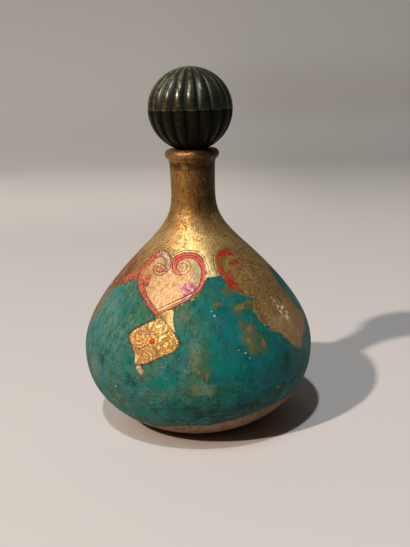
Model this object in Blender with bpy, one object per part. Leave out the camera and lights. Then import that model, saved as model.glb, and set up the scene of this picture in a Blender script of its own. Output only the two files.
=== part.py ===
"""Stoppered baluster vase.

A turned wooden bottle in three glued parts, a bowl, a shoulder and a neck with a
rolled lip, is closed by a stopper: two moulded half balls with gadroons, joined on
a peg that also carries a tapered cork. Lengths are in metres, angles in degrees.
"""

import math

import bmesh
import bpy

# Turned body
BASE_RADIUS = 0.0473
BELLY_RADIUS = 0.0954
BELLY_HEIGHT = 0.0640
NECK_RADIUS = 0.0179
NECK_ROOT_HEIGHT = 0.1955
BODY_WALL = 0.0070
FLOOR_THICKNESS = 0.0100

# Curves of the body, as shares of the run from one named radius to the next and
# of the rise between the same two heights
BOWL_CURVE_SHARES = ((0.0, 0.0), (0.90, 0.32), (1.0, 0.715), (1.0, 1.0))
SHOULDER_CURVE_SHARES = ((0.0, 0.0), (0.0, 0.144), (0.132, 0.3255), (0.6885, 0.6416))
THROAT_CURVE_SHARES = ((0.6885, 0.6416), (0.9672, 0.800), (1.0, 0.859), (1.0, 1.0))

# Glued joint between bowl and shoulder, at the belly
GLUE_GAP = 0.0003
TONGUE_HEIGHT = 0.0060
TONGUE_SHARE = 0.5

# Neck and rolled lip
NECK_WALL = 0.0069
NECK_SWELL = 0.0004
NECK_JOINT_DROP = 0.0195
SPIGOT_LENGTH = 0.0180
SPIGOT_SHARE = 0.42
SOCKET_LEDGE = 0.0040
NECK_LENGTH = 0.0315
LIP_OVERHANG = 0.0041
BEAD_RADIUS = 0.0040
BEAD_START = -50.0
BEAD_END = 90.0
FLARE_HEIGHT = 0.0095
FLARE_CURVE_SHARES = ((0.0, 0.0), (0.0, 0.50), (0.40, 0.82), (1.0, 1.0))
MOUTH_CHAMFER = 0.0015

# Gadrooned ball
BALL_RADIUS = 0.0340
BALL_UPPER_HEIGHT = 0.0328
BALL_LOWER_HEIGHT = 0.0334
BALL_WALL = 0.0035
SEAT_GAP = 0.0003
SEAM_GAP = 0.0003
SEAM_LAP_HEIGHT = 0.0015
SEAM_LAP_SHARE = 0.5
GADROON_COUNT = 19
GADROON_DEPTH = 0.0015
UPPER_GROOVE_TURN = -97.4
LOWER_GROOVE_TURN = -96.0
COLLAR_CLEARANCE = 0.0010
COLLAR_LEDGE = 0.0006
COLLAR_HEIGHT = 0.0020

# Peg, its bosses in the ball, and the cork
PEG_RADIUS = 0.0040
PEG_CHAMFER = 0.0008
PEG_FIT = 0.0003
PEG_SOCKET_DEPTH = 0.0180
BOSS_WALL = 0.0032
BOSS_SETBACK = 0.0010
CORK_LENGTH = 0.0260
CORK_FIT = 0.0003
CORK_TAPER = 0.0012
CORK_CHAMFER = 0.0010
CORK_SOCKET_SHARE = 0.70

# Fineness of the surfaces
BODY_SEGMENTS = 48
PEG_SEGMENTS = 24
BOWL_STEPS = 8
SHOULDER_STEPS = 7
THROAT_STEPS = 7
FLARE_STEPS = 3
BEAD_STEPS = 6
SKIN_STEPS = 9
HOLLOW_STEPS = 4
POINTS_PER_GADROON = 4
WELD_DISTANCE = 0.000001
SHARP_ANGLE = 32.0


def start_afresh():
    for old in list(bpy.data.objects):
        bpy.data.objects.remove(old, do_unlink=True)


def material(name, colour, roughness, metallic=0.0):
    """A plain finish: colour, roughness and how metallic it is."""
    finish = bpy.data.materials.new(name)
    finish.use_nodes = True
    shader = finish.node_tree.nodes["Principled BSDF"]
    shader.inputs["Base Color"].default_value = (*colour, 1.0)
    shader.inputs["Roughness"].default_value = roughness
    shader.inputs["Metallic"].default_value = metallic
    return finish


def axis_empty(name, height):
    """An empty on the vase's upright axis, which carries the pieces of one body."""
    empty = bpy.data.objects.new(name, None)
    empty.location = (0.0, 0.0, height)
    bpy.context.collection.objects.link(empty)
    return empty


def finished_object(name, mesh, carrier, origin_height, finish):
    mesh.materials.append(finish)
    mesh.shade_smooth()
    mesh.set_sharp_from_angle(angle=math.radians(SHARP_ANGLE))
    piece = bpy.data.objects.new(name, mesh)
    piece.parent = carrier
    piece.location = (0.0, 0.0, origin_height - carrier.location.z)
    bpy.context.collection.objects.link(piece)
    return piece


def on_axis(point):
    return point[0] <= WELD_DISTANCE


def curve(start, end, handle_shares, steps):
    """Points of a cubic curve whose handles are shares of the run and rise."""
    run = end[0] - start[0]
    rise = end[1] - start[1]
    a, b, c, d = [(start[0] + x * run, start[1] + y * rise) for x, y in handle_shares]
    points = []
    for step in range(steps + 1):
        t = step / steps
        s = 1.0 - t
        weights = (s ** 3, 3 * s * s * t, 3 * s * t * t, t ** 3)
        corners = (a, b, c, d)
        radius = sum(w * corner[0] for w, corner in zip(weights, corners))
        height = sum(w * corner[1] for w, corner in zip(weights, corners))
        points.append((radius, height))
    return points


def arc(centre, radius, first_angle, last_angle, steps):
    points = []
    for step in range(steps + 1):
        angle = math.radians(first_angle + (last_angle - first_angle) * step / steps)
        points.append((centre[0] + radius * math.cos(angle),
                       centre[1] + radius * math.sin(angle)))
    return points


def inset(outline, wall):
    """The outline moved inwards by the wall, square to the surface."""
    moved = []
    for index, (radius, height) in enumerate(outline):
        before = outline[max(index - 1, 0)]
        after = outline[min(index + 1, len(outline) - 1)]
        run = after[0] - before[0]
        rise = after[1] - before[1]
        length = math.hypot(run, rise)
        moved.append((radius - wall * rise / length, height + wall * run / length))
    return moved


def radius_at(outline, height):
    for low, high in zip(outline, outline[1:]):
        if low[1] <= height <= high[1] and high[1] > low[1]:
            share = (height - low[1]) / (high[1] - low[1])
            return low[0] + share * (high[0] - low[0])
    return outline[-1][0] if height > outline[-1][1] else outline[0][0]


def between(outline, low, high):
    """The stretch of an outline from one height up to another, ends included."""
    inner = [point for point in outline if low < point[1] < high]
    return [(radius_at(outline, low), low), *inner, (radius_at(outline, high), high)]


def body_outline():
    """The outer line of the whole body from the base's edge to the neck's root."""
    base = (BASE_RADIUS, 0.0)
    belly = (BELLY_RADIUS, BELLY_HEIGHT)
    root = (NECK_RADIUS, NECK_ROOT_HEIGHT)
    lower = curve(base, belly, BOWL_CURVE_SHARES, BOWL_STEPS)
    middle = curve(belly, root, SHOULDER_CURVE_SHARES, SHOULDER_STEPS)
    upper = curve(belly, root, THROAT_CURVE_SHARES, THROAT_STEPS)
    return [*lower, *middle[1:], *upper[1:]]


def neck_joint_height():
    """The glued joint lies a little below the neck's root."""
    return NECK_ROOT_HEIGHT - NECK_JOINT_DROP


def mouth_height():
    return NECK_ROOT_HEIGHT + NECK_LENGTH


def bore_radius():
    return NECK_RADIUS - NECK_WALL


def spigot_radius():
    """The neck's spigot takes a share of the wall that its joint leaves."""
    bore = bore_radius()
    outside = radius_at(body_outline(), neck_joint_height())
    return bore + SPIGOT_SHARE * (outside - bore)


def spigot_end_height():
    return neck_joint_height() - SPIGOT_LENGTH


def tongue_radius():
    return BELLY_RADIUS - TONGUE_SHARE * BODY_WALL


def seat_radius():
    return bore_radius() + MOUTH_CHAMFER


def ball_centre_height():
    """The ball rests on the outer edge of the mouth's chamfer."""
    reach = math.sqrt(1.0 - (seat_radius() / BALL_RADIUS) ** 2)
    return mouth_height() + SEAT_GAP + BALL_LOWER_HEIGHT * reach


def turned(name, profile, segments, carrier, origin_height, finish):
    """A profile of radius and height, spun once round the upright axis."""
    build = bmesh.new()
    rail = [build.verts.new((radius, 0.0, height - origin_height)) for radius, height in profile]
    links = [build.edges.new(pair) for pair in zip(rail, rail[1:])]
    if not (on_axis(profile[0]) and on_axis(profile[-1])):
        links.append(build.edges.new((rail[-1], rail[0])))
    bmesh.ops.spin(build, geom=rail + links, cent=(0.0, 0.0, 0.0), axis=(0.0, 0.0, 1.0),
                   angle=math.tau, steps=segments, use_merge=True)
    bmesh.ops.remove_doubles(build, verts=build.verts, dist=WELD_DISTANCE)
    bmesh.ops.recalc_face_normals(build, faces=build.faces)
    mesh = bpy.data.meshes.new(name)
    build.to_mesh(mesh)
    build.free()
    return finished_object(name, mesh, carrier, origin_height, finish)


def gadroon_ring(build, station, origin_height, groove_turn):
    """One ring of scallops; a ring on the axis is a single point."""
    radius, height, depth = station
    if on_axis(station):
        return [build.verts.new((0.0, 0.0, height - origin_height))]
    count = GADROON_COUNT * POINTS_PER_GADROON
    ring = []
    for index in range(count):
        place = 2.0 * (index % POINTS_PER_GADROON) / POINTS_PER_GADROON - 1.0
        reach = radius - depth * place * place
        angle = math.radians(groove_turn) + math.tau * index / count
        ring.append(build.verts.new((reach * math.cos(angle), reach * math.sin(angle),
                                     height - origin_height)))
    return ring


def join_rings(build, first, second):
    count = max(len(first), len(second))
    for index in range(count):
        corners = []
        for ring, turn in ((first, index), (first, index + 1), (second, index + 1), (second, index)):
            corner = ring[turn % len(ring)]
            if corner not in corners:
                corners.append(corner)
        build.faces.new(corners)


def gadrooned(name, stations, carrier, origin_height, groove_turn, finish):
    """A skin through rings of scallops, each given as radius, height and depth."""
    build = bmesh.new()
    rings = [gadroon_ring(build, station, origin_height, groove_turn) for station in stations]
    for first, second in zip(rings, rings[1:]):
        join_rings(build, first, second)
    if not (on_axis(stations[0]) and on_axis(stations[-1])):
        join_rings(build, rings[-1], rings[0])
    bmesh.ops.recalc_face_normals(build, faces=build.faces)
    mesh = bpy.data.meshes.new(name)
    build.to_mesh(mesh)
    build.free()
    return finished_object(name, mesh, carrier, origin_height, finish)


def lower_bowl(carrier):
    """The turned bowl, whose rim ends in a tongue that centres the shoulder."""
    outer = body_outline()
    inner = inset(outer, BODY_WALL)
    tongue_top = BELLY_HEIGHT + TONGUE_HEIGHT
    hollow = between(inner, FLOOR_THICKNESS, tongue_top)
    profile = [
        (0.0, 0.0),
        *between(outer, 0.0, BELLY_HEIGHT),
        (tongue_radius(), BELLY_HEIGHT),
        (tongue_radius(), tongue_top),
        *reversed(hollow),
        (0.0, FLOOR_THICKNESS),
    ]
    paint = material("Teal paint on gesso", (0.03, 0.26, 0.22), 0.38)
    return turned("lower_bowl", profile, BODY_SEGMENTS, carrier, 0.0, paint)


def shoulder(carrier):
    """The domed shoulder: a rebate below for the tongue, a socket above for the neck."""
    outer = body_outline()
    inner = inset(outer, BODY_WALL)
    rim = BELLY_HEIGHT + GLUE_GAP
    rebate = BELLY_HEIGHT + TONGUE_HEIGHT + GLUE_GAP
    floor = spigot_end_height() - GLUE_GAP
    roof = floor - SOCKET_LEDGE
    socket = spigot_radius() + GLUE_GAP
    profile = [
        *between(outer, rim, neck_joint_height()),
        (socket, neck_joint_height()),
        (socket, floor),
        (bore_radius(), floor),
        (bore_radius(), roof),
        *reversed(between(inner, rebate, roof)),
        (tongue_radius() + GLUE_GAP, rebate),
        (tongue_radius() + GLUE_GAP, rim),
    ]
    leaf = material("Yellow gilding on gesso", (0.52, 0.30, 0.06), 0.36, 0.7)
    return turned("shoulder", profile, BODY_SEGMENTS, carrier, BELLY_HEIGHT, leaf)


def lip_outline():
    """The neck's top: a short flare, the rolled bead, a level land and a chamfer."""
    neck_top = NECK_RADIUS + NECK_SWELL
    bead_centre = (NECK_RADIUS + LIP_OVERHANG - BEAD_RADIUS, mouth_height() - BEAD_RADIUS)
    bead = arc(bead_centre, BEAD_RADIUS, BEAD_START, BEAD_END, BEAD_STEPS)
    flare_foot = (neck_top, bead_centre[1] - FLARE_HEIGHT)
    flare = curve(flare_foot, bead[0], FLARE_CURVE_SHARES, FLARE_STEPS)
    chamfer = [(seat_radius(), mouth_height()), (bore_radius(), mouth_height() - MOUTH_CHAMFER)]
    return [*flare, *bead[1:], *chamfer]


def neck(carrier):
    """The neck, turned in one with its lip, stands on a spigot in the shoulder."""
    seat = neck_joint_height() + GLUE_GAP
    foot = spigot_end_height()
    profile = [
        (bore_radius(), foot),
        (spigot_radius(), foot),
        (spigot_radius(), seat),
        *between(body_outline(), seat, NECK_ROOT_HEIGHT),
        *lip_outline(),
    ]
    leaf = material("Brown gilding on gesso", (0.36, 0.19, 0.05), 0.38, 0.7)
    return turned("neck", profile, BODY_SEGMENTS, carrier, neck_joint_height(), leaf)


def skin_stations(rise, steps, last_radius):
    """Outer rings of a half ball from the seam towards its pole."""
    last_angle = math.acos(last_radius / BALL_RADIUS)
    stations = []
    for step in range(steps + 1):
        angle = last_angle * step / steps
        radius = BALL_RADIUS * math.cos(angle)
        stations.append((radius, ball_centre_height() + rise * math.sin(angle),
                         GADROON_DEPTH * math.cos(angle)))
    return stations


def hollow_stations(rise, first_height):
    """Inner rings of a half ball, from near the seam to where the boss begins."""
    radius = BALL_RADIUS - GADROON_DEPTH - BALL_WALL
    reach = abs(rise) - GADROON_DEPTH - BALL_WALL
    side = math.copysign(1.0, rise)
    first_angle = math.asin(abs(first_height - ball_centre_height()) / reach)
    last_angle = math.acos(boss_radius() / radius)
    stations = []
    for step in range(HOLLOW_STEPS + 1):
        angle = first_angle + (last_angle - first_angle) * step / HOLLOW_STEPS
        stations.append((radius * math.cos(angle),
                         ball_centre_height() + side * reach * math.sin(angle), 0.0))
    return stations


def peg_hole_radius():
    return PEG_RADIUS + PEG_FIT


def boss_radius():
    return peg_hole_radius() + BOSS_WALL


def lap_radius():
    """Where the overlapping rims of the two half balls meet."""
    return BALL_RADIUS - GADROON_DEPTH - SEAM_LAP_SHARE * BALL_WALL


def moulded_green(name):
    return material(name, (0.012, 0.022, 0.010), 0.2)


def stopper_upper_half(carrier):
    """The top half ball, rebated at its rim, with a blind boss for the peg."""
    centre = ball_centre_height()
    rebate = centre + SEAM_LAP_HEIGHT + SEAM_GAP
    boss_end = centre + BOSS_SETBACK
    socket_end = centre + PEG_SOCKET_DEPTH
    hole = peg_hole_radius()
    skin = skin_stations(BALL_UPPER_HEIGHT, SKIN_STEPS, 0.0)
    stations = [
        (0.0, centre + BALL_UPPER_HEIGHT, 0.0),
        *reversed(skin[:-1]),
        (lap_radius() + SEAM_GAP, centre, 0.0),
        (lap_radius() + SEAM_GAP, rebate, 0.0),
        *hollow_stations(BALL_UPPER_HEIGHT, rebate),
        (boss_radius(), boss_end, 0.0),
        (hole, boss_end, 0.0),
        (hole, socket_end, 0.0),
        (0.0, socket_end, 0.0),
    ]
    return gadrooned("stopper_upper_half", stations, carrier, centre, UPPER_GROOVE_TURN,
                     moulded_green("Dark green moulding, upper"))


def stopper_lower_half(carrier):
    """The bottom half ball: a lapped rim, a through boss and a collar for the mouth."""
    centre = ball_centre_height()
    seam = centre - SEAM_GAP
    lap_top = centre + SEAM_LAP_HEIGHT
    inner_rim = centre - SEAM_LAP_HEIGHT
    boss_end = centre - BOSS_SETBACK
    hole = peg_hole_radius()
    collar = collar_radius()
    skin = skin_stations(-BALL_LOWER_HEIGHT, SKIN_STEPS, collar + COLLAR_LEDGE)
    rim = (skin[0][0], seam, skin[0][2])
    hollow = hollow_stations(-BALL_LOWER_HEIGHT, inner_rim)
    stations = [
        rim,
        *skin[1:],
        (collar, skin[-1][1], 0.0),
        (collar, collar_end_height(), 0.0),
        (hole, collar_end_height(), 0.0),
        (hole, boss_end, 0.0),
        (boss_radius(), boss_end, 0.0),
        *reversed(hollow),
        (hollow[0][0], lap_top, 0.0),
        (lap_radius(), lap_top, 0.0),
        (lap_radius(), seam, 0.0),
    ]
    return gadrooned("stopper_lower_half", stations, carrier, centre, LOWER_GROOVE_TURN,
                     moulded_green("Dark green moulding, lower"))


def collar_radius():
    return bore_radius() - COLLAR_CLEARANCE


def collar_end_height():
    return mouth_height() - COLLAR_HEIGHT


def cork_top_height():
    return collar_end_height() - CORK_FIT


def cork_socket_height():
    return cork_top_height() - CORK_SOCKET_SHARE * CORK_LENGTH


def stopper_peg(carrier):
    """The dowel that ties the two half balls and the cork together."""
    low = cork_socket_height() + PEG_FIT
    high = ball_centre_height() + PEG_SOCKET_DEPTH - PEG_FIT
    nose = PEG_RADIUS - PEG_CHAMFER
    profile = [
        (0.0, low),
        (nose, low),
        (PEG_RADIUS, low + PEG_CHAMFER),
        (PEG_RADIUS, high - PEG_CHAMFER),
        (nose, high),
        (0.0, high),
    ]
    wood = material("Pale turned wood", (0.48, 0.34, 0.20), 0.6)
    return turned("stopper_peg", profile, PEG_SEGMENTS, carrier, low, wood)


def stopper_cork(carrier):
    """The tapered cork that closes the bore, with a blind hole for the peg."""
    top = cork_top_height()
    bottom = top - CORK_LENGTH
    top_radius = bore_radius() - CORK_FIT
    bottom_radius = top_radius - CORK_TAPER
    socket = cork_socket_height()
    profile = [
        (0.0, bottom),
        (bottom_radius - CORK_CHAMFER, bottom),
        (bottom_radius, bottom + CORK_CHAMFER),
        (top_radius, top),
        (peg_hole_radius(), top),
        (peg_hole_radius(), socket),
        (0.0, socket),
    ]
    bark = material("Cork", (0.42, 0.24, 0.12), 0.85)
    return turned("stopper_cork", profile, PEG_SEGMENTS, carrier, top, bark)


def build_vase():
    start_afresh()
    body = axis_empty("vase_axis", 0.0)
    lower_bowl(body)
    shoulder(body)
    neck(body)
    stopper = axis_empty("stopper_axis", mouth_height())
    stopper_lower_half(stopper)
    stopper_upper_half(stopper)
    stopper_peg(stopper)
    stopper_cork(stopper)


build_vase()
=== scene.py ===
"""Looks of the stoppered baluster vase, put on piece by piece as it is made.

Heights and radii are in metres. What a painter draws on the skin is in millimetres:
how far across from a heart's own line, and how far up the skin from the base's edge.
A colour is its red, green and blue from 0 to 255, as the eye reads them.
"""

import math

import bmesh
import bpy
import numpy as np
from mathutils import Matrix, Vector


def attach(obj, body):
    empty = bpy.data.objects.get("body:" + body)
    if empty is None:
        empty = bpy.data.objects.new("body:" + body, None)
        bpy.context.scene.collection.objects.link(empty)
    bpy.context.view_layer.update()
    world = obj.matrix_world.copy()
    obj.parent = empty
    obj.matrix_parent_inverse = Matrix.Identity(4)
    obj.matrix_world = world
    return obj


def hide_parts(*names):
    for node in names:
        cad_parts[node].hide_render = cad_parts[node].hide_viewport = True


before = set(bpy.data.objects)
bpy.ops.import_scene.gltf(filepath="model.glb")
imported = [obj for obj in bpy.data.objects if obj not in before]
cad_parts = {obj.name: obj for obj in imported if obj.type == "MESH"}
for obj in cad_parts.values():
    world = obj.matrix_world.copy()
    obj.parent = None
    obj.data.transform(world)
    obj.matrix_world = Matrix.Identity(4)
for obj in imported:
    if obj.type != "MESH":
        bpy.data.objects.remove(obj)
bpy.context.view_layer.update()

# The bowl is the lower third of the body. It was turned from pale wood, coated with
# gesso and painted teal; the paint stops short of the foot, where bare wood shows.

MM = 1000.0
BASE_RADIUS = 0.0473
BELLY_RADIUS = 0.0954
BELLY_HEIGHT = 0.0640
NECK_RADIUS = 0.0179
NECK_ROOT_HEIGHT = 0.1955
NECK_SWELL = 0.0004
FLARE_FOOT_HEIGHT = 0.2135
BODY_WALL = 0.0070
FLOOR_THICKNESS = 0.0100
BOWL_BEND = ((0.0, 0.0), (0.90, 0.32), (1.0, 0.715), (1.0, 1.0))
SHOULDER_BEND = ((0.0, 0.0), (0.0, 0.144), (0.132, 0.3255), (0.6885, 0.6416))
THROAT_BEND = ((0.6885, 0.6416), (0.9672, 0.800), (1.0, 0.859), (1.0, 1.0))
BODY_COLUMNS = 600
ROW_STEP = 0.00098
INSIDE_STEP = 0.012
SEAM_ROW = 0.00005
CREASE = math.radians(38.0)
WELD = 1e-6
GROOVE_SHARPNESS = 2.2
LOBE_WAVE = 14.0
OUTSIDE = -9.0
FOOT_ROW = 0.0004


def bend(start, end, handles, steps):
    """A cubic curve whose handles are shares of the run and the rise between two points."""
    start, end = np.array(start), np.array(end)
    a, b, c, d = [start + np.array(handle) * (end - start) for handle in handles]
    t = np.linspace(0.0, 1.0, steps + 1)[:, None]
    s = 1.0 - t
    return s**3 * a + 3 * s * s * t * b + 3 * s * t * t * c + t**3 * d


base, belly = (BASE_RADIUS, 0.0), (BELLY_RADIUS, BELLY_HEIGHT)
root = (NECK_RADIUS, NECK_ROOT_HEIGHT)
outline = np.vstack([
    bend(base, belly, BOWL_BEND, 120),
    bend(belly, root, SHOULDER_BEND, 120)[1:],
    bend(belly, root, THROAT_BEND, 120)[1:],
    [(NECK_RADIUS + NECK_SWELL, FLARE_FOOT_HEIGHT)],
])
outline_run = np.concatenate([[0.0], np.cumsum(np.hypot(*np.diff(outline, axis=0).T))])
slopes = np.gradient(outline, axis=0)
slopes /= np.linalg.norm(slopes, axis=1)[:, None]


def run_at(height):
    """How far up the skin from the base's edge a height lies."""
    return np.interp(height, outline[:, 1], outline_run)


def radius_at(height):
    return np.interp(height, outline[:, 1], outline[:, 0])


def stretch(low, high, step):
    """Rows of the outer skin between two heights, a step apart, with a thin one at each end."""
    first, last = run_at((low, high))
    count = max(2, round((last - first) / step))
    runs = np.linspace(first, last, count + 1)
    runs = np.concatenate([[first, first + SEAM_ROW], runs[1:-1], [last - SEAM_ROW, last]])
    radii = np.interp(runs, outline_run, outline[:, 0])
    heights = np.interp(runs, outline_run, outline[:, 1])
    return list(zip(radii, heights))


def inner_wall(low, high):
    """The hollow's line from the top down, one wall's thickness inside the skin."""
    radii = outline[:, 0] - BODY_WALL * slopes[:, 1]
    tops = outline[:, 1] + BODY_WALL * slopes[:, 0]
    keep = np.concatenate([[True], np.diff(np.maximum.accumulate(tops)) > 0])
    heights = np.linspace(high, low, max(3, round((high - low) / INSIDE_STEP)))
    return [(np.interp(z, tops[keep], radii[keep]), z) for z in heights]


class Recipe:
    """The nodes of one tree, added one after another and linked as they are named."""

    def __init__(self, tree):
        self.tree = tree

    def add(self, kind, inputs=None, **settings):
        node = self.tree.nodes.new(kind)
        for name, value in settings.items():
            setattr(node, name, value)
        for socket, value in (inputs or {}).items():
            self.give(node.inputs[socket], value)
        return node

    def give(self, socket, value):
        value = getattr(value, "socket", value)
        if isinstance(value, bpy.types.NodeSocket):
            self.tree.links.new(value, socket)
        else:
            socket.default_value = value

    def sum(self, operation, *values):
        node = self.add("ShaderNodeMath", dict(enumerate(values)), operation=operation)
        return Amount(self, node.outputs[0])


class Amount:
    """A number that a recipe carries. Signs make new ones; | takes the greater of two."""

    def __init__(self, recipe, socket):
        self.recipe, self.socket = recipe, socket

    def __add__(self, other):
        return self.recipe.sum("ADD", self, other)

    def __sub__(self, other):
        return self.recipe.sum("SUBTRACT", self, other)

    def __rsub__(self, other):
        return self.recipe.sum("SUBTRACT", other, self)

    def __mul__(self, other):
        return self.recipe.sum("MULTIPLY", self, other)

    def __or__(self, other):
        return self.recipe.sum("MAXIMUM", self, other)

    def rise(self, low, high):
        """0 below low, 1 above high, smooth between; low may be the greater."""
        inputs = {"Value": self, "From Min": low, "From Max": high}
        node = self.recipe.add("ShaderNodeMapRange", inputs, interpolation_type="SMOOTHSTEP")
        return Amount(self.recipe, node.outputs[0])

    def line(self, middle, half):
        """1 on a thin line drawn where a distance has the middle value, 0 beside it."""
        return self.rise(middle - half, middle - 0.4 * half) * self.rise(
            middle + half, middle + 0.4 * half)

    def blend(self, below, above):
        """As a share, turns one number into another."""
        inputs = {"Factor": self, "A": below, "B": above}
        node = self.recipe.add("ShaderNodeMix", inputs, data_type="FLOAT")
        return Amount(self.recipe, node.outputs[0])

    def over(self, below, above):
        """As a share, lays one colour over another."""
        node = self.recipe.add("ShaderNodeMix", {"Factor": self}, data_type="RGBA")
        for socket, colour in ((6, below), (7, above)):
            self.recipe.give(node.inputs[socket], light(colour))
        return node.outputs[2]


def light(colour):
    """A colour as the eye reads it, turned into the light that a shader mixes."""
    if not isinstance(colour, tuple):
        return colour
    shares = [value / 255.0 for value in colour]
    return (*[share / 12.92 if share <= 0.04045 else ((share + 0.055) / 1.055) ** 2.4
              for share in shares], 1.0)


def lathe_tree():
    """A turned piece: a line of radius, lobe depth and height goes once round the axis."""
    tree = bpy.data.node_groups.new("turned on the lathe", "GeometryNodeTree")
    tree.is_modifier = True
    for name, kind in (("Profile", "Geometry"), ("Columns", "Int"), ("Lobes", "Int"),
                       ("Groove Turn", "Float"), ("Unevenness", "Float"), ("Finish", "Material")):
        tree.interface.new_socket(name=name, in_out="INPUT", socket_type="NodeSocket" + kind)
    tree.interface.new_socket(name="Piece", in_out="OUTPUT", socket_type="NodeSocketGeometry")
    lathe = Recipe(tree)
    given = lathe.add("NodeGroupInput").outputs

    def held(curve, kind, name, value):
        """The curve's own value, kept on its points before the sweep changes it."""
        node = lathe.add("GeometryNodeCaptureAttribute")
        node.capture_items.new(kind, name)
        lathe.give(node.inputs[0], curve)
        lathe.give(node.inputs[name], value)
        return node.outputs

    line = held(lathe.add("GeometryNodeMeshToCurve", {0: given["Profile"]}).outputs[0],
                "VECTOR", "Place", lathe.add("GeometryNodeInputPosition").outputs[0])
    ring = lathe.add("GeometryNodeCurvePrimitiveCircle", {"Resolution": given["Columns"]})
    trip = held(ring.outputs[0], "FLOAT", "Turn",
                lathe.add("GeometryNodeSplineParameter").outputs["Factor"])
    piece = lathe.add("GeometryNodeCurveToMesh", {"Curve": trip[0], "Profile Curve": line[0]})
    radius, depth, height = (Amount(lathe, part) for part in lathe.add(
        "ShaderNodeSeparateXYZ", {0: line["Place"]}).outputs)
    turn = Amount(lathe, trip["Turn"])
    lobe_turn = (turn - given["Groove Turn"]) * given["Lobes"]
    across = lathe.sum("ABSOLUTE", lathe.sum("FRACT", lobe_turn) * 2.0 - 1.0)
    wave = lathe.add("ShaderNodeTexNoise", {
        "Vector": line["Place"], "W": lobe_turn, "Scale": LOBE_WAVE, "Detail": 1.0},
        noise_dimensions="4D")
    uneven = (Amount(lathe, wave.outputs[0]) - 0.5) * given["Unevenness"]
    reach = radius - depth * (lathe.sum("POWER", across, GROOVE_SHARPNESS) + uneven)
    angle = turn * math.tau
    spot = lathe.add("ShaderNodeCombineXYZ", {
        "X": reach * lathe.sum("COSINE", angle), "Y": reach * lathe.sum("SINE", angle),
        "Z": height}).outputs[0]
    for kind, inputs, settings in (
            ("SetPosition", {"Position": spot}, {}),
            ("StoreNamedAttribute", {"Name": "groove", "Value": across}, {"data_type": "FLOAT"}),
            ("MergeByDistance", {"Distance": WELD}, {}),
            ("FlipFaces", {}, {}),
            ("SetShadeSmooth", {}, {}),
            ("RealizeInstances", {}, {}),
            ("SetMaterial", {"Material": given["Finish"]}, {})):
        piece = lathe.add("GeometryNode" + kind, {0: piece.outputs[0], **inputs}, **settings)
    lathe.add("NodeGroupOutput", {"Piece": piece.outputs[0]})
    return tree


lathe = lathe_tree()


def turned(name, profile, finish, columns, closed=False, lobes=1, groove_turn=0.0, uneven=0.0):
    """A profile of radius and height, or radius, lobe depth and height, turned to a mesh."""
    points = [(p[0], 0.0, p[1]) if len(p) == 2 else tuple(p) for p in profile]
    edges = [(i, i + 1) for i in range(len(points) - 1)]
    if closed:
        edges.append((len(points) - 1, 0))
    line = bpy.data.meshes.new(name + "_line")
    line.from_pydata(points, edges, [])
    piece = bpy.data.objects.new(name, line)
    bpy.context.collection.objects.link(piece)
    work = piece.modifiers.new("lathe", "NODES")
    work.node_group = lathe
    given = {"Columns": columns, "Lobes": lobes, "Groove Turn": groove_turn,
             "Unevenness": uneven, "Finish": finish}
    for item in lathe.interface.items_tree:
        if item.name in given:
            work[item.identifier] = given[item.name]
    plain = bpy.data.meshes.new_from_object(
        piece.evaluated_get(bpy.context.evaluated_depsgraph_get()))
    piece.modifiers.clear()
    piece.data = plain
    plain.name = name
    plain.set_sharp_from_angle(angle=CREASE)
    return piece


def spots_of(mesh):
    places = np.empty(len(mesh.vertices) * 3, np.float32)
    mesh.vertices.foreach_get("co", places)
    return places.reshape(-1, 3).astype(float)


def azimuths(spots):
    """Degrees round the axis from the front, positive to the right."""
    return np.degrees(np.arctan2(spots[:, 0], -spots[:, 1]))


def mark(mesh, name, values):
    layer = mesh.attributes.new(name, "FLOAT", "POINT")
    layer.data.foreach_set("value", np.asarray(values, np.float32))


def on_skin(azimuth, run):
    """Points of the body's skin at azimuths in degrees and runs in millimetres."""
    radius = np.interp(np.asarray(run) / MM, outline_run, outline[:, 0])
    height = np.interp(np.asarray(run) / MM, outline_run, outline[:, 1])
    turn = np.radians(azimuth)
    return np.stack([radius * np.sin(turn), -radius * np.cos(turn), height], -1)


def patches(spots, places):
    """Distance inside the nearest of some round patches: azimuth, height, half sizes, mm."""
    best = np.full(len(spots), OUTSIDE)
    for azimuth, height, half, tall in places:
        turn = math.radians(azimuth)
        across = np.array([math.cos(turn), math.sin(turn), 0.0])
        off = (spots - on_skin(azimuth, MM * run_at(height / MM))) * MM
        side = off @ across
        up = np.linalg.norm(off - side[:, None] * across, axis=1)
        best = np.maximum(best, half * (1.0 - np.hypot(side / half, up / tall)))
    return best


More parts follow.
